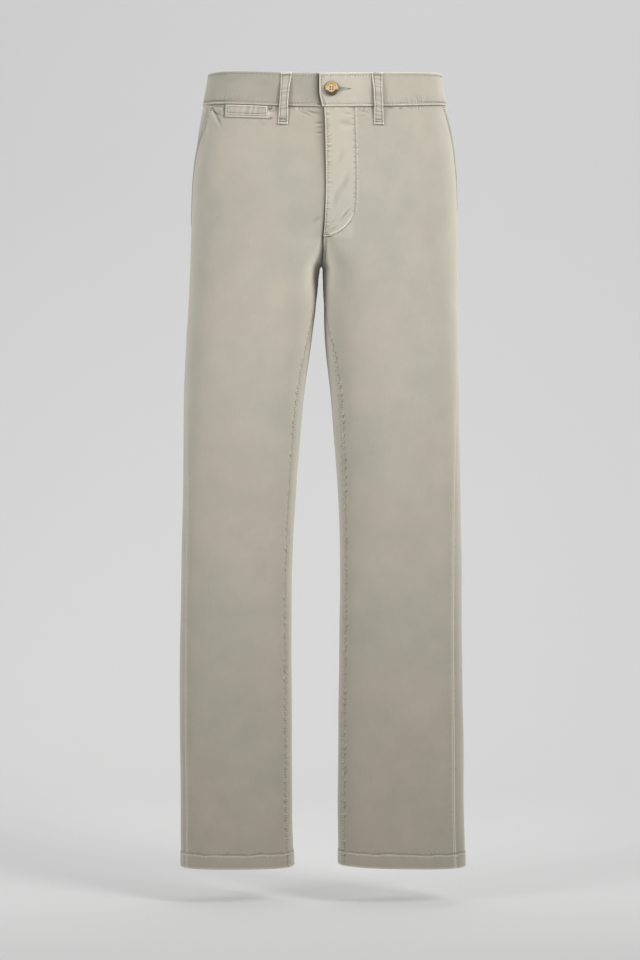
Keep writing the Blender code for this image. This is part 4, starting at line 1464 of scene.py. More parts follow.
@dataclass
class FrontPanel(Panel):
    """A front: slanted pocket mouth, twin-needled inseam, and on the left the raised fly with its J."""

    mouth_depth: float = 158 * MM
    mouth_edge: StitchedEdge = StitchedEdge((1.7, 6.3), 1, 0.66, 6.0, 6.0, 0.5, 0.60, 0.42, 0.50, 1.3, 0.7)
    mouth_over: float = 14 * MM
    mouth_levels: int = 80
    inner_edge: StitchedEdge = StitchedEdge((1.9, 5.4), 3, 0.55, 9.0, 8.0, -0.6, 0.24, 0.28, 0.12, 1.7)
    fly_edge: StitchedEdge = StitchedEdge((2.4,), 31, 0.42, 7.0, 8.0, 0.1, 0.5, 0.26)
    crotch_edge: StitchedEdge = StitchedEdge((3.2,), 4, 0.4, 8.0, 5.0)
    outseam: tuple[Bead, ...] = ((0.22, 1.3, 0.9), (-0.16, 0.0, 0.45))
    outseam_puckers: Puckers = Puckers(2, 0.14, 14.0, 2.0, 7.0)
    fly_puckers: Puckers = Puckers(32, 0.62, 5.2, 2.6, 8.0, 0.9, -0.75)
    j_outside: Puckers = Puckers(33, 0.36, 7.5, 0.3, 7.0, 1.0)
    j_inside: Puckers = Puckers(34, 0.36, 8.5, 0.3, 6.0, 1.0, 0.3)
    coin_piping: tuple[Bead, ...] = ((0.40, 1.5, 0.9), (-0.50, 3.2, 0.7), (-0.30, 0.0, 0.6))
    coin_puckers: Puckers = Puckers(8, 0.25, 7.0, 3.4, 5.0, 1.6)
    coin_reach: float = 20 * MM
    front_u: float = -0.3
    j_straight: float = 0.16
    fly_foot: float = -0.192
    fly_width: float = 39.5 * MM
    fly_curve: float = 40 * MM
    fly_raise: float = 0.9 * MM
    fly_fade: float = 15 * MM
    fly_sink: float = 1.1 * MM
    fly_sink_start: float = 2 * MM
    fly_sink_ramp: float = 16 * MM
    fly_reach: float = 75 * MM
    fly_below: float = 45 * MM
    thigh_wear: float = 0.22 * MM
    thigh_spot: tuple[float, float, float] = (15 * MM, 45 * MM, 22 * MM)
    fly_wear: float = 0.09 * MM
    coin_box: tuple[float, float, float] = (-0.127, -0.073, 13.8 * MM)
    seed: int = 100
    mouth_tops = {Side.RIGHT: 54 * MM, Side.LEFT: 68 * MM}

    def __post_init__(self) -> None:
        """Draws the pocket mouth: straight in the flat cloth, from the outseam to its top's distance."""
        levels = np.linspace(self.mouth_foot, FIGURE.waist_line + self.mouth_over, self.mouth_levels)
        ahead = self.mouth_tops[self.side] * (levels - self.mouth_foot) / self.mouth_depth
        outseam = FIGURE.outseam[self.side](levels)
        self.mouth = Curve(levels, FIGURE.moved(self.side, outseam, levels, -ahead))

    @property
    def mouth_foot(self) -> float:
        """Height of the pocket mouth's lower end."""
        return FIGURE.waist_line - self.mouth_depth

    def first(self, z: Array) -> Array:
        """u of the pocket mouth, and below it of the outseam."""
        return np.where(z > self.mouth_foot, self.mouth(z), FIGURE.outseam[self.side](z))

    def last(self, z: Array) -> Array:
        """u of the centre seam, and below the crotch of the inseam."""
        return FIGURE.inseam[self.side](z) - 1.0

    def shares(self) -> tuple[Array, Array]:
        """Closest at the seams, the hem, the waist and round the fly.

        Returns:
            Columns and rows.
        """
        columns = paced(SEAM_ZONE, (11, 0.95), (68, 1.7), (59, 3.9), (52, 1.05), SEAM_ZONE)
        rows = paced(SEAM_ZONE, (30, 1.15), (755, 1.95), (40, 1.2), (176, 1.15), (10, 0.8))
        return columns, rows

    def from_centre(self, u: Array, z: Array) -> Array:
        """Distance across the front from the centre line."""
        return self.side.value * (FIGURE.skin(self.side, u, z)[..., 0] - FIGURE.centre(z))

    def j_line(self) -> Array:
        """The J: straight down, then a quarter ellipse into the centre seam.

        Returns:
            Its corners, as distance from the centre line and height.
        """
        turn = np.linspace(0.0, math.pi / 2, 14)
        curve = np.stack([self.fly_width * np.cos(turn),
                          self.fly_foot + self.fly_curve * (1.0 - np.sin(turn))], axis=-1)
        return np.concatenate([[[self.fly_width, 0.01]], curve])

    def base(self, u: Array, z: Array) -> Array:
        """The turned mouth and inseam, the fly's raised layers, and the right front sunk under them.

        Args:
            u: place round the section.
            z: height.

        Returns:
            Heights in metres.
        """
        lift = super().base(u, z)
        out_off, in_off = self.edge_distances(u, z)
        lift = lift + self.in_mouth(z) * self.mouth_edge.step(out_off)
        lift = lift + self.on_leg(z) * self.inner_edge.step(in_off)
        off = self.from_centre(u, z)
        above = smooth(1.0 + (z - self.fly_foot) / self.fly_fade) * (u < 0)
        if self.side is Side.RIGHT:
            sunk = smooth(1.0 - (off - self.fly_sink_start) / self.fly_sink_ramp)
            return lift - self.fly_sink * sunk * above
        drop = np.clip(1.0 - (z - self.fly_foot) / self.fly_curve, 0.0, 1.0)
        width = self.fly_width * np.sqrt(1.0 - drop * drop)
        lift = lift + self.fly_raise * smooth(0.7 + (width - off) / (5 * MM)) * above
        return lift + self.below_fly(u, z) * self.crotch_edge.step(off)

    def below_fly(self, u: Array, z: Array) -> Array:
        """1 along the crotch seam between the fly and the legs, and 0 elsewhere."""
        return smooth((self.fly_foot - z) / (6 * MM)) * (1 - self.on_leg(z)) * (u < self.front_u)

    def edge_distances(self, u: Array, z: Array) -> tuple[Array, Array]:
        """Distances from the panel's outer and inner edges."""
        return (FIGURE.gap_to(self.side, self.first(z), u, z), FIGURE.gap_to(self.side, self.last(z), u, z))

    def in_mouth(self, z: Array) -> Array:
        """1 along the pocket mouth and 0 below it."""
        return smooth((z - self.mouth_foot) / (4 * MM))

    def fly_relief(self, off: Array, z: Array) -> Array:
        """Edge stitching down the fly, and the grooved, puckered J.

        Args:
            off: distance from the centre line.
            z: height.

        Returns:
            Heights in metres.
        """
        seed = self.start_seed
        upper = smooth((z + 85 * MM) / (8 * MM)) * smooth((-42 * MM - z) / (6 * MM))
        edge = self.fly_edge.marks(off, z, seed) + upper * self.fly_puckers.lift(z, off, seed)
        edge = edge * smooth(1.0 + (z - self.fly_foot + 2 * MM) / (6 * MM))
        beyond, along = nearest_on_line(off, z, self.j_line())
        beyond = -beyond
        low = smooth((along - self.j_straight) / (25 * MM))
        groove = (0.30 + 0.22 * low) * beads(beyond, (-1.0, 0.0, 0.65))
        plump = (0.16 + 0.2 * low) * beads(beyond - 1.7 * MM * (2 * low - 1), (1.0, 0.0, 1.0))
        outside = self.j_outside.lift(along, beyond, seed) * (1 - 0.6 * low)
        return edge + groove + plump + outside + self.j_inside.lift(along, -beyond, seed)

    def details(self, u: Array, z: Array) -> Array:
        """Pocket mouth, outseam and inseam, with the coin pocket's frame or the fly.

        Args:
            u: place round the section.
            z: height.

        Returns:
            Heights in metres.
        """
        seed = self.start_seed
        out_off, in_off = self.edge_distances(u, z)
        outseam = beads(out_off, *self.outseam) + self.outseam_puckers.lift(z, out_off, seed)
        mouth = self.mouth_edge.marks(out_off, z, seed)
        lift = outseam + self.in_mouth(z) * (mouth - outseam)
        lift = lift + self.on_leg(z) * self.inner_edge.marks(in_off, z, seed)
        if self.side is Side.RIGHT:
            return lift + self.coin_frame(u, z)
        off = self.from_centre(u, z)
        near = (off < self.fly_reach) & (z > self.fly_foot - self.fly_below) & (u < self.front_u)
        fly = np.zeros(lift.shape)
        fly[near] = self.fly_relief(off[near], np.broadcast_to(z, lift.shape)[near])
        return lift + fly + self.below_fly(u, z) * self.crotch_edge.marks(off, z, seed)

    def coin_frame(self, u: Array, z: Array) -> Array:
        """A piped frame round the coin pocket's welt: a ridge between two grooves, puckered outside.

        Args:
            u: place round the section.
            z: height.

        Returns:
            Heights in metres.
        """
        x = FIGURE.skin(self.side, u, z)[..., 0]
        left, right, foot = self.coin_box
        down = FIGURE.waist_seam(self.side, u) - z
        out = np.maximum(np.maximum(left - x, x - right), down - foot)
        near = (u < 0) * (out < self.coin_reach)
        return near * (beads(out, *self.coin_piping) + self.coin_puckers.lift(x + down, out, self.seed))

    def tint(self, u: Array, z: Array) -> Array:
        """Painted shadow beside the fly on the right front, paler on the fly, and painted light on the inner
        thighs just below the crotch.

        Args:
            u: place round the section.
            z: height.

        Returns:
            Metres of relief that only the colour reads.
        """
        off = self.from_centre(u, z)
        inner = u < self.front_u
        above = smooth((z - self.fly_foot + 6 * MM) / (6 * MM)) * inner
        drop, spread, reach = self.thigh_spot
        # painted light that lifts the shade on the inner thighs below the crotch
        thigh = self.thigh_wear * ridge(z - FIGURE.crotch + drop, spread) * inner * ridge(off, reach)
        if self.side is Side.RIGHT:
            off = np.clip(off, 0.0, None)
            # the right front: a painted shadow beside the fly's raised edge, wider near the band, and a
            # faint broad one
            wide = (2.2 + 4.4 * smooth((z + 0.135) / 0.095)) * MM
            deep = 0.44 * np.exp(-(off / wide) ** 1.5) + 0.07 * np.exp(-off / (26 * MM))
            return 1.3 * thigh - MM * above * deep
        return thigh + self.fly_wear * above * smooth((self.fly_width - off) / (4 * MM))

    def shape(self, u: Array, z: Array) -> Array:
        """The thin folds: a trough that tapers to both ends, with a swelling on its lower side.

        Args:
            u: place round the section.
            z: height.

        Returns:
            Heights in metres.
        """
        x = FIGURE.skin(self.side, u, z)[..., 0]
        lift = np.zeros(x.shape)
        for crease in CREASES[self.side]:
            start, end = np.array([crease.x0, crease.z0]), np.array([crease.x1, crease.z1])
            length = np.linalg.norm(end - start)
            way = (end - start) / length
            share = np.clip(((x - start[0]) * way[0] + (z - start[1]) * way[1]) / length, 0.0, 1.0)
            taper = np.sin(math.pi * share)
            off = (z - start[1]) * way[0] - (x - start[0]) * way[1] - crease.bend * length * taper
            width = crease.width * (0.45 + 0.55 * taper)
            trough = ridge(off, width) - 0.38 * ridge(off + 1.9 * width, 1.3 * width)
            lift = lift - crease.depth * np.sqrt(taper) * taper * trough * (u < 0)
        return lift

    def sew_all(self, work: Needlework) -> None:
        """Stitches of the pocket mouth, inseam, hem, and on the left the fly.

        Args:
            work: gathers the stitches.
        """
        figure, side = FIGURE, self.side
        top = figure.waist_line - 8 * MM
        mouth = np.linspace(top, self.mouth_foot + 2 * MM, 160)
        leg = np.linspace(figure.crotch - 6 * MM, figure.hem + 2 * MM, 500)
        for z, start, way, edge, radius in ((mouth, self.first(mouth), -1, self.mouth_edge, 1.7),
                                            (leg, self.last(leg), 1, self.inner_edge, 0.55)):
            for row in edge.rows:
                self.sew(work, figure.moved(side, start, z, way * row * MM), z, radius=radius)
        self.sew_hem(work)
        for z, width in ((top + 1 * MM, 8 * MM), (self.mouth_foot + 4 * MM, 7.5 * MM)):
            level = np.full(12, z)
            u = figure.moved(side, self.first(level), level, -np.linspace(0.5 * MM, width, len(level)))
            self.sew(work, u, level, turn=True, length=2.2 * MM, pitch=0.75 * MM)
        if side is Side.LEFT:
            self.sew_fly(work)

    def sew_fly(self, work: Needlework) -> None:
        """The J, the fly's edge, the crotch seam below it and the bar tack at its foot.

        Args:
            work: gathers the stitches.
        """
        top = FIGURE.front_seam - 4 * MM
        line = self.j_line()
        line[0, 1] = top
        way = travelled(line)
        off, z = read_off(line, way, np.linspace(0.0, 1.0, 300) * way[-1]).T
        edge = np.linspace(top, self.fly_foot + 3 * MM, 200)
        below = np.linspace(self.fly_foot - 4 * MM, FIGURE.crotch + 6 * MM, 60)
        tack = np.linspace(2 * MM, 11 * MM, 12)
        self.sew_from_centre(work, np.maximum(off, 1 * MM), z)
        self.sew_from_centre(work, self.fly_edge.rows[0] * MM, edge)
        self.sew_from_centre(work, self.crotch_edge.rows[0] * MM, below)
        self.sew_from_centre(work, tack, np.full(len(tack), self.fly_foot + 1.5 * MM), turn=True,
                             length=2.4 * MM, pitch=0.75 * MM)

    def sew_from_centre(self, work: Needlework, off: Array, z: Array, **how: float) -> None:
        """A row of stitches at distances from the centre line."""
        self.sew(work, FIGURE.front_u(self.side, FIGURE.centre(z) + off, z), z, **how)


@dataclass
class BackPanel(Panel):
    """A back: a waist dart, the seat seam and the plain sides of the leg seams."""

    dart_u: float = 0.56
    dart_length: float = 0.095
    dart_fold: tuple[Bead, ...] = ((0.32, 1.9, 1.4), (-0.50, 0.0, 0.9))
    seat_edge: StitchedEdge = StitchedEdge((1.9, 6.0), 4, 0.42, 9.0, 7.0)
    outseam: tuple[Bead, ...] = ((0.34, 1.3, 0.9), (-0.22, 0.0, 0.45))
    outseam_puckers: Puckers = Puckers(2, 0.16, 14.0, 2.0, 7.0)
    inseam_puckers: Puckers = Puckers(3, 0.45, 10.0, 0.4, 7.0, slant=0.4)
    soft: float = 1.2 * MM
    seed: int = 300

    def first(self, z: Array) -> Array:
        """u of the outseam."""
        return FIGURE.outseam[self.side](z)

    def last(self, z: Array) -> Array:
        """u of the seat seam, and below the crotch of the inseam."""
        return FIGURE.inseam[self.side](z) + 1.0

    def shares(self) -> tuple[Array, Array]:
        """Closest at the seams, the dart, the hem and the waist.

        Returns:
            Columns and rows.
        """
        level = FIGURE.waist_line - self.dart_length / 2
        first, last = self.first(level), self.last(level)
        to_dart = 219.4 * (self.dart_u - first) / (last - first) - 18
        columns = paced(SEAM_ZONE, (9, 1.1), (to_dart, 4.2), (15.6, 1.1), (177.4 - to_dart, 4.2), (15, 1.2),
                        SEAM_ZONE)
        rows = paced(SEAM_ZONE, (30, 1.2), (763, 2.3), (50, 2.0), (158, 2.0), (10, 0.9))
        return columns, rows

    def details(self, u: Array, z: Array) -> Array:
        """Seat seam, dart and leg seams.

        Args:
            u: place round the section.
            z: height.

        Returns:
            Heights in metres.
        """
        figure, side, seed = FIGURE, self.side, self.start_seed
        out_off = figure.gap_to(side, self.first(z), u, z)
        in_off = figure.gap_to(side, self.last(z), u, z)
        lift = beads(out_off, *self.outseam) + self.outseam_puckers.lift(z, out_off, seed)
        # a slight dip at the inner edge, which the colour paints as shade under the front's edge
        sunk = -0.35 * MM * np.exp(-in_off / (0.8 * MM))
        seat = self.seat_edge.marks(in_off, z, seed) if side is Side.LEFT else sunk
        leg = self.on_leg(z)
        lift = lift + leg * (sunk + self.inseam_puckers.lift(z, in_off, seed)) + (1 - leg) * seat
        from_dart = (u - self.dart_u) * figure.rate(side, np.full(np.shape(u), self.dart_u), z)
        fade = smooth((self.dart_length + z - figure.waist_seam(side, u)) / (0.6 * self.dart_length))
        return lift + beads(from_dart, *self.dart_fold) * fade

    def base(self, u: Array, z: Array) -> Array:
        """The hem, and on the left the turned seat seam.

        Args:
            u: place round the section.
            z: height.

        Returns:
            Heights in metres.
        """
        lift = super().base(u, z)
        if self.side is Side.RIGHT:
            return lift
        in_off = FIGURE.gap_to(self.side, self.last(z), u, z)
        return lift + (1 - self.on_leg(z)) * self.seat_edge.step(in_off)

    def sew_all(self, work: Needlework) -> None:
        """Stitches of the hem, and on the left the twin rows of the seat seam.

        Args:
            work: gathers the stitches.
        """
        self.sew_hem(work)
        if self.side is Side.LEFT:
            seat = np.linspace(FIGURE.waist_line - 8 * MM, FIGURE.crotch + 12 * MM, 200)
            edge = self.last(seat)
            for row in self.seat_edge.rows:
                self.sew(work, edge - row * MM / FIGURE.rate(self.side, edge - 0.02, seat), seat)


@dataclass
class PocketFacing:
    """The hip's side that shows in the slanted mouth, sinking behind the front."""

    front: FrontPanel
    under: float = 20 * MM
    foot: float = 4 * MM
    sink: float = 2.8 * MM
    edge: float = 1 * MM
    ramp: float = 16 * MM
    thickness: float = 1.3 * MM
    seam: tuple[Bead, ...] = ((0.38, 1.4, 1.1), (-0.25, 0.0, 0.5))
    shadow: tuple[Bead, ...] = ((-0.35, 0.0, 2.2),)

    def build(self, name: str) -> Piece:
        """The facing's shell: its lift falls smoothly from the mouth inwards.

        Args:
            name: the piece's name.

        Returns:
            The object.
        """
        figure, side = FIGURE, self.front.side
        levels = np.linspace(self.front.mouth_foot + self.foot, figure.waist_line, 90)
        outseam, mouth = figure.outseam[side](levels), self.front.first(levels)
        first = outseam - figure.half_seam / figure.rate(side, outseam, levels)
        last = mouth - self.under / figure.rate(side, mouth, levels)
        u = first[:, None] + (last - first)[:, None] * np.linspace(0.0, 1.0, 44)
        z = figure.fitted(side, u, levels, self.front.fit_height)
        behind = (u - mouth[:, None]) * figure.rate(side, u, z)
        relief = beads(figure.gap_to(side, first[:, None], u, z), *self.seam) + beads(behind, *self.shadow)
        lift = relief - self.sink * smooth(1.0 - (behind - self.edge) / self.ramp)
        outer = figure.lifted(side, u, z, lift)
        inner = figure.lifted(side, u, z, lift - self.thickness)
        return cloth_wall(name, outer, inner, tone_of(relief), -side.value, self.front.cloth)


# ---------------------------------------------------------------- waistband, loops and pocket


@dataclass
class Waistband:
    """Half of the waistband: a folded band with edge stitching, carried round the waist.

    Its section is a rounded slab: an outer face with a groove at each stitch row, a fold over the top
    and a plain inner face.
    """

    side: Side
    cloth: Material
    out: float = 1.1 * MM
    inside: float = -1.5 * MM
    end_top: float = -6.1 * MM
    end_foot: float = -2.2 * MM
    underlap: float = 36 * MM
    sink: float = 3.0 * MM
    sink_start: float = 1.5 * MM
    sink_ramp: float = 14 * MM
    row_in: float = 3.6 * MM
    end_in: float = 2.9 * MM
    end_wear: float = 0.09 * MM
    shade: float = 0.42 * MM
    shade_reach: float = 6.2 * MM
    stations: int = 460
    metres_per_u: float = 0.30
    puckered: tuple[tuple[float, float], ...] = ((-0.46, 0.10), (-0.16, 0.06), (0.62, 0.12))
    low_lines: tuple[Bead, ...] = ((-0.44, 3.6, 0.7), (-0.50, 0.0, 0.5))
    high_lines: tuple[Bead, ...] = ((-0.28, 3.6, 0.6), (0.20, 1.0, 0.9))
    end_lines: tuple[Bead, ...] = ((0.45, 0.9, 1.3), (-0.30, 2.9, 0.6))
    # a pale edge outside the lower row: wear and painted highlight
    worn_lit_edge: Bead = (0.28, 1.3, 0.8)
    pulled_groove: Bead = (-0.42, 3.9, 1.0)
    standing: Puckers = Puckers(0, 0.36, 5.6, 3.6, 14.0, 1.1, 0.30)
    hanging: Puckers = Puckers(5, 0.20, 9.0, 3.6, 7.0, 1.2, -0.3)
    seed: int = 500
    rows_start = {Side.RIGHT: 0.14, Side.LEFT: 0.012}

    def level(self, climb: Array) -> Array:
        """Height at the front for a share of the band's height."""
        return FIGURE.front_seam + (FIGURE.front_top - FIGURE.front_seam) * climb

    def end_x(self, z: Array) -> Array:
        """x of the left half's free end, which leans at its foot."""
        share = (z - FIGURE.front_seam) / (FIGURE.front_top - FIGURE.front_seam)
        return self.end_foot + (self.end_top - self.end_foot) * smooth(share / 0.45)

    def ahead(self, u: Array, z: Array) -> Array:
        """How far under the left half's end a point of the right half lies."""
        return self.end_x(z) - FIGURE.skin(self.side, u, z)[..., 0]

    def sunk(self, u: Array, z: Array) -> Array:
        """How far the right half sinks to pass under the left one.

        Args:
            u: place round the section.
            z: height.

        Returns:
            Depths in metres.
        """
        if self.side is Side.LEFT:
            return np.zeros(np.broadcast(u, z).shape)
        return self.sink * smooth(1.0 - (self.ahead(u, z) - self.sink_start) / self.sink_ramp) * (u < 0)

    def start(self, z: Array) -> Array:
        """u where this half begins at the front."""
        x = self.end_x(z) if self.side is Side.LEFT else FIGURE.centre(z) + self.underlap
        return FIGURE.front_u(self.side, x, z)

    def relief(self, u: Array, climb: Array) -> Array:
        """The outer face's fine relief from its lower edge (climb 0) to its top (1).

        Grooves at both rows, an edge outside each that is pale from wear and painted highlight, and puckers
        that stand on the lower row and hang from the upper one.

        Args:
            u: place round the waist.
            climb: share of the band's height.

        Returns:
            Heights in metres.
        """
        height = FIGURE.band_height + FIGURE.band_front_drop * smooth(-np.sin(u * math.pi / 2))
        low, high, along = climb * height, (1 - climb) * height, u * self.metres_per_u
        seed = self.seed + self.side.value
        uneven = 0.75 + 0.45 * wander(along, 0.016, seed + 9)
        pulled = smooth((u + 0.48) / 0.08) * smooth((0.10 - u) / 0.10)
        strong = 0.22 + 0.78 * sum(ridge(u - middle, wide) for middle, wide in self.puckered)
        return (beads(low, *self.low_lines) + beads(high, *self.high_lines)
                + uneven * beads(low, self.worn_lit_edge) + pulled * beads(low, self.pulled_groove)
                + strong * self.standing.lift(along, low, seed) + self.hanging.lift(along, high, seed))

    def tint(self, u: Array, climb: Array) -> Array:
        """Paler by the free end on the left half; painted shade on the right, uneven in streaks, and a
        painted shadow that is deepest under that end.

        Args:
            u: place round the section.
            climb: share of the band's height.

        Returns:
            Metres of relief that only the colour reads.
        """
        if self.side is Side.LEFT:
            return self.end_wear * smooth((-0.70 - u) / 0.20) + np.zeros(np.broadcast(u, climb).shape)
        # the right half: painted shade in streaks, and a painted shadow under the left half's free end
        streaks = (wander(climb * 0.045 + 0.02 * u, 0.016, self.seed + 41)
                   * wander(u * self.metres_per_u, 0.05, self.seed + 42))
        ahead = np.clip(self.ahead(u, self.level(climb)), 0.0, None)
        deepest = self.shade * np.exp(-(ahead / self.shade_reach) ** 1.6) * (u < 0)
        return -MM * (0.10 + 0.06 * streaks) * smooth((0.6 - u) / 0.5) - deepest

    def slow(self, u: Array, climb: Array) -> Array:
        """Slow waves in the band's middle."""
        waves = wander(u * self.metres_per_u, 0.045, self.seed + self.side.value + 7)
        return 0.40 * MM * waves * np.sin(math.pi * np.clip(climb, 0.0, 1.0))

    def build(self, name: str) -> Piece:
        """The half's shell.

        Args:
            name: the piece's name.

        Returns:
            The object.
        """
        figure, side = FIGURE, self.side
        outside = paced(SEAM_ZONE, (6, 0.65), (29.6, 1.3), (6, 0.65), SEAM_ZONE)
        within = paced((1.2, 0.6), (41.6, 3.4), (1.2, 0.6))[::-1]
        climb = np.concatenate([outside, within])
        on_front = np.arange(len(climb)) < len(outside)
        start = self.start(self.level(climb))
        u = start + (1.0 - start) * np.linspace(0.0, 1.0, self.stations)[:, None] ** 0.93
        foot = figure.waist_seam(side, u) + figure.half_seam
        z = foot + (figure.waist_top(side, u) - foot) * climb
        from_edge = np.clip(np.minimum(climb, 1 - climb) * figure.band_height / ROUND, 0, 1)
        edge = 1.0 - np.sqrt(1.0 - (1.0 - from_edge) ** 2)
        from_end = figure.gap_to(side, start[None, :], u, z)
        relief, slow = self.relief(u, climb), self.slow(u, climb)
        if side is Side.LEFT:
            # at the free end a ridge, painted light on its rounded edge, and a groove at its row
            relief = relief + beads(from_end, *self.end_lines)
        outer = self.out + relief + slow - 0.7 * MM * edge - 0.5 * MM * rounding(from_end)
        inner = self.inside + 0.35 * MM * edge + 0.25 * relief + slow
        lift = np.where(on_front, outer, inner) - self.sunk(u, z)
        tone = 0.5 + (tone_of(relief + self.tint(u, climb)) - 0.5) * on_front
        return tube(name, figure.lifted(side, u, z, lift), tone, side.value, self.cloth)

    def surface(self, u: Array, z: Array) -> tuple[Array, Array]:
        """Points and normals of the outer face.

        Args:
            u: place round the section.
            z: height.

        Returns:
            Points and normals.
        """
        figure, side = FIGURE, self.side
        foot = figure.waist_seam(side, u)
        climb = (z - foot) / (figure.waist_top(side, u) - foot)
        lift = self.out + self.relief(u, climb) + self.slow(u, climb) - self.sunk(u, z)
        return figure.lifted(side, u, z, lift), figure.normals(side, u, z)

    def sew_all(self, work: Needlework) -> None:
        """Both long rows, and on the left the row at the free end.

        Args:
            work: gathers the stitches.
        """
        figure, side = FIGURE, self.side
        start = float(self.start(np.array(figure.front_seam)))
        u = np.linspace(start + self.rows_start[side], 0.998, 700)
        work.row_on(self.surface(u, figure.waist_seam(side, u) + self.row_in), radius=1.5)
        work.row_on(self.surface(u, figure.waist_top(side, u) - self.row_in), radius=1.1)
        if side is Side.LEFT:
            z = np.linspace(figure.front_seam + 2 * MM, figure.front_top - 2 * MM, 60)
            work.row_on(self.surface(figure.front_u(side, self.end_x(z) + self.end_in, z), z))


@dataclass(frozen=True)
class LoopPlace:
    """Where a belt loop is sewn: its side, u at its top and at its foot, and the seed of its crimps."""

    name: str
    side: Side
    u_top: float
    u_foot: float
    seed: int


LOOP_PLACES = (
    LoopPlace("belt_loop_front_right", Side.RIGHT, -0.830, -0.818, 936),
    LoopPlace("belt_loop_front_left", Side.LEFT, -0.736, -0.755, 972),
    LoopPlace("belt_loop_side_right", Side.RIGHT, 0.330, 0.330, 944),
    LoopPlace("belt_loop_side_left", Side.LEFT, 0.330, 0.330, 901),
    LoopPlace("belt_loop_centre_back", Side.RIGHT, 1.000, 1.000, 905),
)


@dataclass
class BeltLoop:
    """A folded strap with twin needle rows, sewn down over the band's edge and below its seam.

    It stands off in its middle, narrows there, and its edges curl up beyond the stitch rows.
    """

    place: LoopPlace
    cloth: Material
    width: float = 13.2 * MM
    length: float = 68.6 * MM
    cloth_thick: float = 1.7 * MM
    stand: float = 3.3 * MM
    band_out: float = 1.1 * MM
    gap: float = 0.3 * MM
    top_gap: float = 0.6 * MM
    seam_step: float = 3 * MM
    row_in: float = 2.3 * MM
    stations: int = 90
    edge_lines: tuple[Bead, ...] = ((0.30, 1.1, 0.9), (-0.50, 2.3, 0.5))
    steps: tuple[Bead, ...] = ((1.0, 0.020, 0.015), (-0.8, 0.055, 0.012), (-0.8, 0.895, 0.012),
                               (-1.0, 0.945, 0.010), (1.0, 0.975, 0.012))

    def standing(self, share: Array) -> Array:
        """Share of the full stand-off at each share of the length from the top."""
        return smooth((share - 0.07) / 0.33) * smooth((0.92 - share) / 0.30)

    def widening(self, share: Array) -> Array:
        """The strap's width as a share of its usual one: flared at the top, narrow where it stands off."""
        flare = 0.10 * (1.0 - smooth(share / 0.3)) + 0.02 * smooth((share - 0.9) / 0.1)
        return 1.0 + flare - 0.15 * self.standing(share)

    def path(self, share: Array, across: Array) -> tuple[Array, Array, Array]:
        """u, z and the height of the strap's inner face.

        Args:
            share: share of the length from the top.
            across: distance across the strap from its middle, in metres.

        Returns:
            Three arrays of the two's common shape.
        """
        figure, side = FIGURE, self.place.side
        middle = self.place.u_top + (self.place.u_foot - self.place.u_top) * share
        z = figure.waist_top(side, middle) - self.top_gap - self.length * share
        u = middle + across / figure.rate(side, middle, z)
        z = z + 0.0 * u
        past_band = smooth((figure.waist_seam(side, middle) - self.seam_step / 2 - z) / (4 * MM))
        under = self.band_out + 0.35 * MM - (self.band_out - 0.3 * MM) * past_band
        return u, z, under + self.gap + self.stand * self.standing(share)

    def build(self) -> Piece:
        """The strap's shell, a rounded slab carried down its path.

        Returns:
            The object.
        """
        side = self.place.side
        share = np.linspace(0.0, 1.0, self.stations)[:, None]
        face, back = np.linspace(-1.0, 1.0, 23), np.linspace(1.0, -1.0, 9)[1:-1]
        edge = np.concatenate([face, back])
        on_face = np.arange(len(edge)) < len(face)
        across = edge * self.width / 2 * self.widening(share)
        u, z, inner = self.path(share, across)
        from_edge = (1 - np.abs(edge)) * self.width / 2
        crimp = gathers(z + 0.2 * across, 7 * MM, self.place.seed) * on_face
        steps = sum(height * ridge(share - at, width) for height, at, width in self.steps)
        relief = beads(from_edge, *self.edge_lines) + 0.14 * MM * crimp + 0.38 * MM * steps
        curl = 0.45 * MM * np.abs(edge) ** 3 * self.standing(share)
        ends = rounding(np.minimum(share, 1 - share) * self.length)
        outer = inner + self.cloth_thick + relief + curl - 0.8 * MM * rounding(from_edge) - 0.7 * MM * ends
        lift = np.where(on_face, outer, inner + curl + 0.5 * MM * rounding(from_edge))
        tone = 0.5 + (tone_of(relief) - 0.5) * on_face
        name = self.place.name + "_strap"
        return tube(name, FIGURE.lifted(side, u, z, lift), tone, 1, self.cloth)

    def sew_all(self, work: Needlework) -> None:
        """Two long rows and the bar tacks at both ends.

        Args:
            work: gathers the stitches.
        """
        share = np.linspace(0.03, 0.97, 120)
        for way in (-1.0, 1.0):
            self.sew_path(work, share, way * (self.width / 2 * self.widening(share) - self.row_in))
        across = np.linspace(-4.6, 4.6, 24) * MM
        for at in (0.035, 0.930):
            self.sew_path(work, np.full(24, at), across, turn=True, length=2.3 * MM, pitch=0.72 * MM)

    def sew_path(self, work: Needlework, share: Array, across: Array, turn: bool = False,
                 **sizes: float) -> None:
        """A row of stitches on the strap.

        Args:
            work: gathers the stitches.
            share: share of the length from the top.
            across: distance across the strap from its middle.
            turn: True lays each stitch across the line.
            sizes: the stitches' other sizes, as for Needlework.row.
        """
        side = self.place.side
        u, z, inner = self.path(share, across)
        points = FIGURE.lifted(side, u, z, inner + self.cloth_thick - 0.05 * MM)
        work.row(points, FIGURE.normals(side, u, z), turn, **sizes)


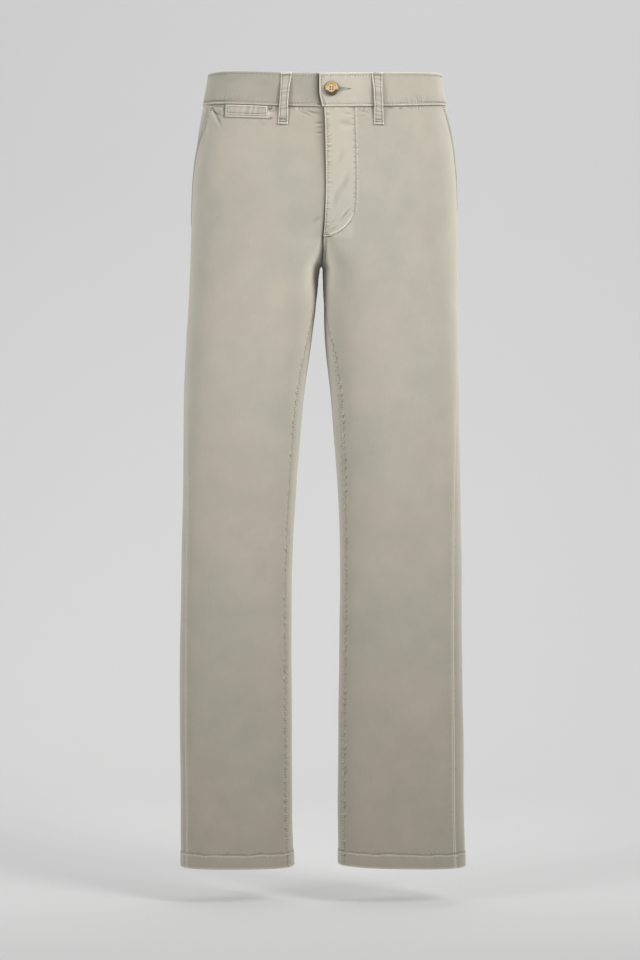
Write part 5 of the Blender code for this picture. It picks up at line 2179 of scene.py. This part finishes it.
@dataclass
class CoinPocket:
    """The narrow welt under the waistband on the right front, with its stitched frame."""

    front: FrontPanel
    drop: float = 0.8 * MM
    thick: float = 1.1 * MM
    gap: float = 0.3 * MM
    edge_lines: tuple[Bead, ...] = ((0.32, 1.0, 0.8), (-0.34, 2.3, 0.5))
    end_line: Bead = (-0.30, 6.0, 0.5)
    seed: int = 71
    side: Side = Side.RIGHT

    @property
    def box(self) -> tuple[float, float, float]:
        """x of its right and left ends, and its height."""
        right, left, foot = self.front.coin_box
        return right, left, foot - self.drop

    def place(self, x: Array, down: Array) -> tuple[Array, Array]:
        """u and z at x, and a distance down from the waist seam."""
        u = FIGURE.front_u(self.side, x, FIGURE.waist_line - down)
        return u, FIGURE.waist_seam(self.side, u) - self.drop - down

    def build(self, name: str) -> Piece:
        """The welt's shell.

        Args:
            name: the piece's name.

        Returns:
            The object.
        """
        right, left, height = self.box
        down = (height * paced(SEAM_ZONE, (10.6, 0.9), SEAM_ZONE))[::-1, None]
        x = right + (left - right) * paced(SEAM_ZONE, (51.6, 1.1), SEAM_ZONE)
        x, down = np.broadcast_arrays(x, down)
        u, z = self.place(x, down)
        ends = np.minimum(x - right, left - x)
        edges = np.minimum(np.minimum(down, height - down), ends)
        puckered = 0.12 * MM * gathers(x + 0.2 * down, 8 * MM, self.seed)
        relief = beads(edges, *self.edge_lines) + beads(ends, self.end_line) + puckered
        lift = self.gap + self.thick + relief - 0.7 * MM * rounding(edges)
        outer = FIGURE.lifted(self.side, u, z, lift)
        inner = FIGURE.lifted(self.side, u, z, self.gap + 0.2 * MM * rounding(edges))
        return cloth_wall(name, outer, inner, tone_of(relief), -1, self.front.cloth)

    def sew_all(self, work: Needlework) -> None:
        """The welt's own row, and the frame round it on the front.

        Args:
            work: gathers the stitches.
        """
        right, left, height = self.box
        for margin, top, lift in ((-2.3 * MM, 1.5 * MM, self.gap + self.thick), (3.2 * MM, 0.0, 0.1 * MM)):
            ends, foot = (right - margin, left + margin), height + margin
            corners = np.array([[ends[0], top], [ends[0], foot], [ends[1], foot], [ends[1], top]])
            way = travelled(corners)
            u, z = self.place(*read_off(corners, way, np.linspace(0.0, way[-1], 200)).T)
            points = FIGURE.lifted(self.side, u, z, np.full(u.shape, lift))
            work.row(points, FIGURE.normals(self.side, u, z))

# ---------------------------------------------------------------- button, buttonhole and zip


@dataclass(frozen=True)
class Setting:
    """A small flat frame on the trousers: an origin, and the directions right, up and out."""

    origin: Array
    right: Array
    up: Array
    out: Array

    @classmethod
    def on_front(cls, side: Side, x: float, z: float, lift: float) -> "Setting":
        """The setting at x and z on the front, a lift above it.

        Args:
            side: the wearer's side.
            x: place across.
            z: height.
            lift: how far above the front.

        Returns:
            The setting, its right and up level with the front.
        """
        at_z = np.array(z)
        u = FIGURE.front_u(side, np.array(x), at_z)
        out = FIGURE.normals(side, u, at_z)
        right = unit(np.cross([0.0, 0.0, 1.0], out))
        right = right if right[0] > 0 else -right
        up = np.cross(right, -out)
        up = up if up[2] > 0 else -up
        return cls(FIGURE.lifted(side, u, at_z, np.array(lift)), right, up, out)

    def points(self, right: Array, up: Array, out: Array) -> Array:
        """Points from their coordinates in the setting."""
        steps = ((right, self.right), (up, self.up), (out, self.out))
        return self.origin + sum(far[..., None] * way for far, way in steps)


@dataclass
class Button:
    """A four-hole horn button on a wound shank.

    Its face is a turned profile: a shallow dish, a fat rim and a rounded edge. The holes are deep
    round pits in the dish, bell-sided where the drill broke the surface.
    """

    horn: Material
    thread: Material
    x: float = 9.6 * MM
    z: float = -0.5 * MM
    lift: float = 2.0 * MM
    radius: float = 9.6 * MM
    depth: float = 3.6 * MM
    dish: float = 0.60
    hole: float = 1.15 * MM
    spread: float = 2.4 * MM
    shank_radius: float = 1.25 * MM
    shank_length: float = 3.4 * MM
    windings: int = 7
    face_zones: tuple[tuple[float, float, int], ...] = ((0.02, 0.42, 22), (0.45, 0.86, 14), (0.875, 1.0, 12))
    back: tuple[tuple[float, float], ...] = ((0.97, 0.24), (0.88, 0.06), (0.60, 0.0), (0.30, 0.0),
                                             (0.02, 0.0))

    @property
    def setting(self) -> Setting:
        """Where the button's back is."""
        return Setting.on_front(Side.LEFT, self.x, self.z, self.lift)

    def face(self, r: Array) -> Array:
        """Height of the button's face at a share of its radius, as a share of its depth.

        Args:
            r: share of the radius.

        Returns:
            Shares of the depth.
        """
        bowl = 0.66 + 0.34 * smooth((r - self.dish * 0.82) / 0.26)
        edge = np.sqrt(np.clip(1.0 - (np.clip(r - 0.84, 0.0, None) / 0.16) ** 2, 0.0, 1.0))
        return 0.5 + (bowl - 0.5) * edge

    def build(self) -> Piece:
        """The button, in place of its solid.

        Returns:
            The object.
        """
        turn = np.linspace(0.0, 2 * math.pi, 96, endpoint=False)
        front = np.concatenate([np.linspace(*zone) for zone in self.face_zones])
        profile = np.concatenate([np.stack([front, self.face(front)], axis=-1), self.back])
        r, level = profile.T[..., None]
        right, up = r * np.cos(turn) * self.radius, r * np.sin(turn) * self.radius
        pits = np.zeros(right.shape)
        for corner in np.arange(1, 8, 2) * math.pi / 4:
            away = np.hypot(right - self.spread * math.cos(corner), up - self.spread * math.sin(corner))
            pits = np.maximum(pits, smooth((self.hole + 0.15 * MM - away) / (0.35 * MM)))
        pits[len(front):] = 0.0
        points = self.setting.points(right, up, (level - 0.50 * pits) * self.depth)
        faces = [face[::-1] for face in capped(*pits.shape)]
        piece = new_piece("button_horn", points, faces, self.horn)
        away, across = np.hypot(right, up) / self.radius, up / self.radius
        # the lower crescent: painted shade, as if lit from above, which also takes the pale dish away there
        crescent = smooth((-0.10 - across) / 0.26) * smooth((away - 0.48) / 0.08)
        crescent *= 1.0 - 0.35 * ridge(away - 0.86, 0.05)
        write_value(piece, "pit", pits)
        write_value(piece, "dish", smooth((self.dish - 0.06 - away) / 0.08) * (1.0 - crescent))
        # foot: the lower crescent's painted shade, and a dark rim all round
        write_value(piece, "foot", np.maximum(crescent, 0.95 * smooth((away - 0.88) / 0.06)))
        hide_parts("button")
        return piece

    def wind(self) -> Piece:
        """The thread through the holes and the wound shank behind.

        Returns:
            The thread through the holes.
        """
        work = Needlework("button_thread", self.thread, length=4.6 * MM, radius=0.20 * MM)
        spot = self.setting
        up = np.array([-1.7, 1.7]) * MM
        for shift in (-0.25, 0.25):
            for way in (-1.0, 1.0):
                right = np.full(2, way * self.spread * 0.707 + shift * MM)
                line = spot.points(right, up, np.full(2, self.depth * 0.70))
                work.row(line, np.stack([spot.out, spot.out]), length=2.6 * MM, pitch=5 * MM)
        piece = work.make()
        turn = np.linspace(0.0, 2 * math.pi, 20, endpoint=False)
        down, turn = np.broadcast_arrays(np.linspace(0.0, 1.0, 30)[:, None], turn)
        radius = self.shank_radius * (1.0 + 0.10 * np.sin(down * 2 * math.pi * self.windings))
        points = spot.points(radius * np.cos(turn), radius * np.sin(turn), -down * self.shank_length)
        wound = tube("button_shank_thread", points, np.full(turn.shape, 0.5), -1, self.thread)
        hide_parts("button_shank")
        return piece


@dataclass
class Buttonhole:
    """A keyhole buttonhole: close stitches in a raised band round a slit that narrows to a point.

    Its height over the flat band is a plateau round the slit, ribbed along the slit's outline.
    """

    thread: Material
    band: Waistband
    x_from: float = 7.6 * MM
    length: float = 26.5 * MM
    z: float = -0.5 * MM
    half_width: float = 4.7 * MM
    slit: float = 0.45 * MM
    stitch: float = 1.05 * MM
    seed: int = 61

    def build(self) -> Piece:
        """The stitched patch, its corners following the band's own surface.

        Returns:
            The object.
        """
        along = np.linspace(0.0, self.length + 1.2 * MM, 190)
        across = np.linspace(-1.0, 1.0, 35)[:, None]
        past = np.clip(along - self.length + 2 * MM, 0, None) / (3.2 * MM)
        taper = 1.0 - 0.70 * smooth((along - 0.20 * self.length) / (0.80 * self.length))
        half = self.half_width * taper * np.sqrt(np.clip(1.0 - past**2, 0.02, 1.0))
        off = np.abs(across) * half
        mouth = self.slit * smooth((self.length - 1.5 * MM - along) / (2 * MM))
        lip = smooth((off - mouth) / (0.35 * MM)) * smooth((half - off) / (0.5 * MM))
        ribs = 0.5 + 0.5 * np.cos(2 * math.pi * (along + 0.25 * off * np.sign(across)) / self.stitch)
        height = lip * (0.55 + 0.22 * ribs) * MM + 0.06 * MM
        edge = 1 - smooth((half - off) / (0.25 * MM))
        x, z = np.broadcast_arrays(self.x_from + along, self.z + across * half)
        points, normals = self.band.surface(FIGURE.front_u(Side.LEFT, x, z), z)
        outer = points + normals * (height - 0.25 * MM * edge)[..., None]
        inner = points - normals * 0.4 * MM
        plain = np.full(x.shape, 0.5)
        piece = cloth_wall("buttonhole_stitching", outer, inner, plain, 1, self.thread)
        # tuck paints shade in the slit and between the ribs, uneven along the border
        slit = 0.35 * (1.0 - smooth((off - mouth) / (0.4 * MM)))
        border = 0.75 * ridge(half - off, 0.6 * MM) * gathers(along, 3.4 * MM, self.seed)
        tuck = np.zeros(len(piece.data.vertices))
        tuck[:x.size] = np.maximum(np.maximum(0.50 * (1 - ribs) * lip, slit), border).ravel()
        write_value(piece, "tuck", tuck)
        return piece


TOOTH_CORNERS = (
    # across from the chain's middle, up, out
    (-0.3, -1.0, 0), (1.9, -1.0, 0), (1.9, 1.0, 0), (-0.3, 1.0, 0),
    (-0.1, -0.8, 1), (1.6, -0.8, 1), (1.6, 0.8, 1), (-0.1, 0.8, 1),
)
TOOTH_FACES = ((0, 3, 2, 1), (4, 5, 6, 7), (0, 1, 5, 4), (1, 2, 6, 5), (2, 3, 7, 6), (3, 0, 4, 7))


@dataclass
class Zip:
    """The closed zip behind the fly: tape, teeth set alternately on both sides, and the slider."""

    tape: Material
    brass: Material
    foot: float = -0.152
    top: float = -0.027
    left: float = -6 * MM
    right: float = 24 * MM
    out: float = -3.9 * MM
    inner: float = -5.1 * MM
    chain_x: float = 12.5 * MM
    pitch: float = 1.45 * MM
    cords: tuple[Bead, ...] = ((0.7, -1.6, 0.8), (0.7, 1.6, 0.8))
    slider_half: float = 3.4 * MM
    slider_length: float = 11 * MM
    slider_out: float = -1.75 * MM

    def on_tape(self, x: Array, z: Array, lift: Array) -> Array:
        """Points at x from the centre line, on the face behind the fly."""
        u = FIGURE.front_u(Side.LEFT, FIGURE.centre(z) + x, z)
        return FIGURE.lifted(Side.LEFT, u, z, lift)

    def build(self) -> list[Piece]:
        """Tape, teeth and slider.

        Returns:
            The three objects.
        """
        x = self.left + (self.right - self.left) * np.linspace(0.0, 1.0, 40)
        x, z = np.broadcast_arrays(x, np.linspace(self.foot, self.top, 70)[:, None])
        cord = beads(x - self.chain_x, *self.cords) + 0.05 * MM * np.sin(2 * math.pi * x / (1.3 * MM))
        outer = self.on_tape(x, z, self.out + cord)
        inner = self.on_tape(x, z, np.full(x.shape, self.inner))
        tape = cloth_wall("zip_tape_woven", outer, inner, np.full(x.shape, 0.45), -1, self.tape)
        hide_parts("zip_tape")
        return [tape, self.teeth(), self.slider()]

    def teeth(self) -> Piece:
        """Two rows of blocks, each half a pitch from its neighbours, by arrays.

        Returns:
            The object.
        """
        count = 2 * int((self.top - self.foot - 8 * MM) / self.pitch)
        number = np.arange(count)
        level = self.foot + 4 * MM + number * self.pitch / 2
        way = np.where(number % 2 == 0, -1, 1)
        across, up, out = np.array(TOOTH_CORNERS).T
        x = self.chain_x + way[:, None] * across * 1.2 * MM
        z = level[:, None] + up * 0.33 * MM
        points = self.on_tape(x, z, self.out + 0.25 * MM + out * 1.35 * MM + 0.0 * z)
        faces = [[corner + len(TOOTH_CORNERS) * tooth for corner in face[::-way[tooth]]]
                 for tooth in number for face in TOOTH_FACES]
        return new_piece("zip_teeth", points, faces, self.brass)

    def slider(self) -> Piece:
        """The slider: a shield, wide at its shoulders, crowned across.

        Returns:
            The object.
        """
        across, down = np.broadcast_arrays(np.linspace(-1.0, 1.0, 21), np.linspace(0.0, 1.0, 26)[:, None])
        shoulders = np.sin(math.pi * np.clip(down * 1.6, 0, 1))
        shield = 0.72 + 0.28 * shoulders - 0.34 * smooth((down - 0.5) / 0.5)
        x = self.chain_x + across * self.slider_half * shield
        z = self.top - 3 * MM - self.slider_length * down
        edge = np.sqrt(np.clip(1.0 - across**4, 0.0, 1.0) * np.clip(np.sin(math.pi * down), 0.02, 1.0))
        low = np.full(x.shape, self.slider_out)
        outer = self.on_tape(x, z, low + (0.45 + 0.25 * (1 - across**2)) * MM * edge)
        plain = np.full(x.shape, 0.5)
        piece = cloth_wall("zip_slider_body", outer, self.on_tape(x, z, low), plain, 1, self.brass)
        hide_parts("zip_slider")
        return piece


# ---------------------------------------------------------------- studio


@dataclass(frozen=True)
class Lamp:
    """A square soft box: where it stands, what it faces, its edge, power, beam in degrees and colour."""

    name: str
    at: tuple[float, float, float]
    aim: tuple[float, float, float]
    size: float
    energy: float
    spread: float
    tint: tuple[float, float, float] = (1.0, 1.0, 1.0)


LAMPS = (
    Lamp("key", (1.7, -2.3, 1.3), (0.03, 0.0, -0.05), 1.2, 9.0, 52, (1.0, 0.995, 0.985)),
    Lamp("fill", (-2.4, -2.6, 0.6), (0.0, 0.0, -0.10), 1.6, 9.2, 56, (0.99, 0.995, 1.0)),
    Lamp("edge", (2.6, -1.2, 0.9), (0.05, 0.0, -0.05), 1.4, 1.5, 50),
    Lamp("backdrop", (0.5, 1.0, 2.6), (0.3, 3.0, 0.0), 2.4, 30.0, 150),
)


@dataclass
class Studio:
    """Pale floor and backdrop in one sweep, soft lamps and the camera."""

    floor_z: float = -1.073
    bend: float = 1.2
    bend_start: float = 1.6
    front_edge: float = -6.0
    wall_top: float = 5.0
    half_width: float = 7.0
    air: float = 0.20
    distance: float = 4.6
    view_height: float = 1.28
    sensor: float = 36.0
    eye: tuple[float, float] = (-0.0053, -0.510)

    def sweep(self) -> None:
        """The floor, bending up into the backdrop along a quarter circle."""
        turn = np.linspace(0.0, math.pi / 2, 25)
        wall = self.bend_start + self.bend
        y = np.concatenate([[self.front_edge, 0.0], self.bend_start + self.bend * np.sin(turn), [wall]])
        z = np.concatenate([[0.0, 0.0], self.bend * (1.0 - np.cos(turn)), [self.wall_top]]) + self.floor_z
        x = np.linspace(-self.half_width, self.half_width, 9)
        points = np.stack(np.broadcast_arrays(x, y[:, None], z[:, None]), axis=-1)
        mesh = bpy.data.meshes.new("studio_sweep")
        mesh.from_pydata(points.reshape(-1, 3).tolist(), [], quads(*points.shape[:2]).tolist())
        mesh.shade_smooth()
        mesh.materials.append(Backdrop("studio_paper").make())
        self.put("studio_sweep", mesh)

    def put(self, name: str, data: object) -> Piece:
        """An object of the scene that isn't part of the trousers.

        Args:
            name: the object's name.
            data: the object's data.

        Returns:
            The object.
        """
        piece = bpy.data.objects.new(name, data)
        bpy.context.scene.collection.objects.link(piece)
        return piece

    def light(self, lamp: Lamp) -> None:
        """A lamp, turned so that it faces its point.

        Args:
            lamp: the lamp.
        """
        data = bpy.data.lights.new(lamp.name, "AREA")
        data.shape, data.size, data.energy, data.color = "SQUARE", lamp.size, lamp.energy, lamp.tint
        data.spread = math.radians(lamp.spread)
        piece = self.put(lamp.name, data)
        piece.location = lamp.at
        x, y, z = np.array(lamp.aim) - np.array(lamp.at)
        piece.rotation_euler = (math.atan2(math.hypot(x, y), -z), 0.0, -math.atan2(x, y))

    def camera(self) -> None:
        """The camera, level, at half the trousers' height."""
        data = bpy.data.cameras.new("camera")
        data.sensor_width = self.sensor
        data.lens = self.sensor * self.distance / self.view_height
        camera = self.put("camera", data)
        camera.location = (self.eye[0], -self.distance, self.eye[1])
        camera.rotation_euler = (math.pi / 2, 0.0, 0.0)
        bpy.context.scene.camera = camera

    def build(self) -> None:
        """Floor, lamps, surrounding light and camera."""
        self.sweep()
        for lamp in LAMPS:
            self.light(lamp)
        world = bpy.data.worlds.new("studio_air")
        world.use_nodes = True
        sky = world.node_tree.nodes["Background"].inputs
        sky["Color"].default_value, sky["Strength"].default_value = WHITE, self.air
        bpy.context.scene.world = world
        bpy.context.scene.view_settings.view_transform = "Standard"
        self.camera()


# ---------------------------------------------------------------- putting it together


@dataclass(frozen=True)
class Cut:
    """What shows of a piece's flat cloth: the box round it in metres, and the share of it that it fills."""

    flat: tuple[float, float]
    share: float


def install(piece: Piece, node: str) -> None:
    """Puts a cloth piece in its solid's place and reports it.

    Args:
        piece: the piece.
        node: its solid's name.
    """
    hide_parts(node)
    log.info("%s: %d faces", piece.name, len(piece.data.polygons))


def stitch(name: str, thread: Material, *parts: object) -> None:
    """All the stitches of some parts, as one mesh.

    Args:
        name: the mesh's name.
        thread: their finish.
        parts: what they are sewn on.
    """
    work = Needlework(name, thread)
    for part in parts:
        part.sew_all(work)
    log.info("%s: %d faces", name, len(work.make().data.polygons))


def dress_panels(cloth: Material, thread: Material) -> dict[Side, FrontPanel]:
    """Both fronts, backs and pocket facings with their stitches.

    Args:
        cloth: the twill.
        thread: the sewing thread.

    Returns:
        The front panels, which other pieces lie on.
    """
    fronts = {}
    for side in Side:
        panels = {"front": FrontPanel(side, cloth), "back": BackPanel(side, cloth)}
        for word, panel in panels.items():
            install(panel.build(f"{word}_panel_{side.word}"), f"{word}_{side.word}")
        facing = PocketFacing(panels["front"]).build(f"facing_panel_{side.word}")
        install(facing, f"pocket_facing_{side.word}")
        for word, panel in panels.items():
            stitch(f"stitches_{word}_{side.word}", thread, panel)
        fronts[side] = panels["front"]
    return fronts


def dress_waist(front: FrontPanel, cloth: Material, thread: Material, matched: Material) -> Waistband:
    """Both halves of the waistband, the belt loops and the coin pocket, with their stitches.

    Args:
        front: the right front, which the coin pocket lies on.
        cloth: the band's twill.
        thread: the band's thread.
        matched: the loops' and the pocket's thread.

    Returns:
        The left half of the waistband.
    """
    bands = {side: Waistband(side, cloth) for side in Side}
    for side, band in bands.items():
        install(band.build(f"band_{side.word}"), f"waistband_{side.word}")
    stitch("stitches_waistband", thread, *bands.values())
    loops = [BeltLoop(place, cloth) for place in LOOP_PLACES]
    for loop in loops:
        install(loop.build(), loop.place.name)
    stitch("stitches_belt_loops", matched, *loops)
    coin = CoinPocket(front)
    install(coin.build("coin_welt"), "coin_pocket_welt")
    stitch("stitches_coin_pocket", matched, coin)
    return bands[Side.LEFT]


def main() -> None:
    """Builds and dresses every piece, then the studio."""
    logging.basicConfig(level=logging.INFO, format="%(name)s: %(message)s")
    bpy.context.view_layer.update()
    cloth = Twill("sage_twill").make()
    band_cloth = Twill("sage_band_twill", rgb(0.458, 0.418, 0.352), rgb(0.412, 0.402, 0.338),
                       wear=1.1).make()
    thread = Thread("sage_thread", rgb(0.70, 0.68, 0.58), rgb(0.53, 0.51, 0.42)).make()
    matched = Thread("matched_thread", rgb(0.50, 0.47, 0.38), rgb(0.34, 0.32, 0.25)).make()
    waxed = Thread("waxed_button_thread", rgb(0.60, 0.46, 0.28), rgb(0.44, 0.32, 0.18),
                   rgb(0.03, 0.02, 0.01)).make()
    green = Thread("grey_green_thread", rgb(0.48, 0.50, 0.40), rgb(0.27, 0.29, 0.22),
                   rgb(0.04, 0.04, 0.03)).make()
    fronts = dress_panels(cloth, thread)
    left_band = dress_waist(fronts[Side.RIGHT], band_cloth, thread, matched)
    button = Button(Horn("horn").make(), waxed)
    details = [button.build(), button.wind(), Buttonhole(green, left_band).build()]
    tape = Twill("zip_tape_cloth", rgb(0.42, 0.39, 0.31), rgb(0.38, 0.36, 0.29)).make()
    details += Zip(tape, Brass("antique_brass").make()).build()
    for piece in details:
        log.info("%s: %d faces", piece.name, len(piece.data.polygons))
    Studio().build()


if __name__ == "__main__":
    main()
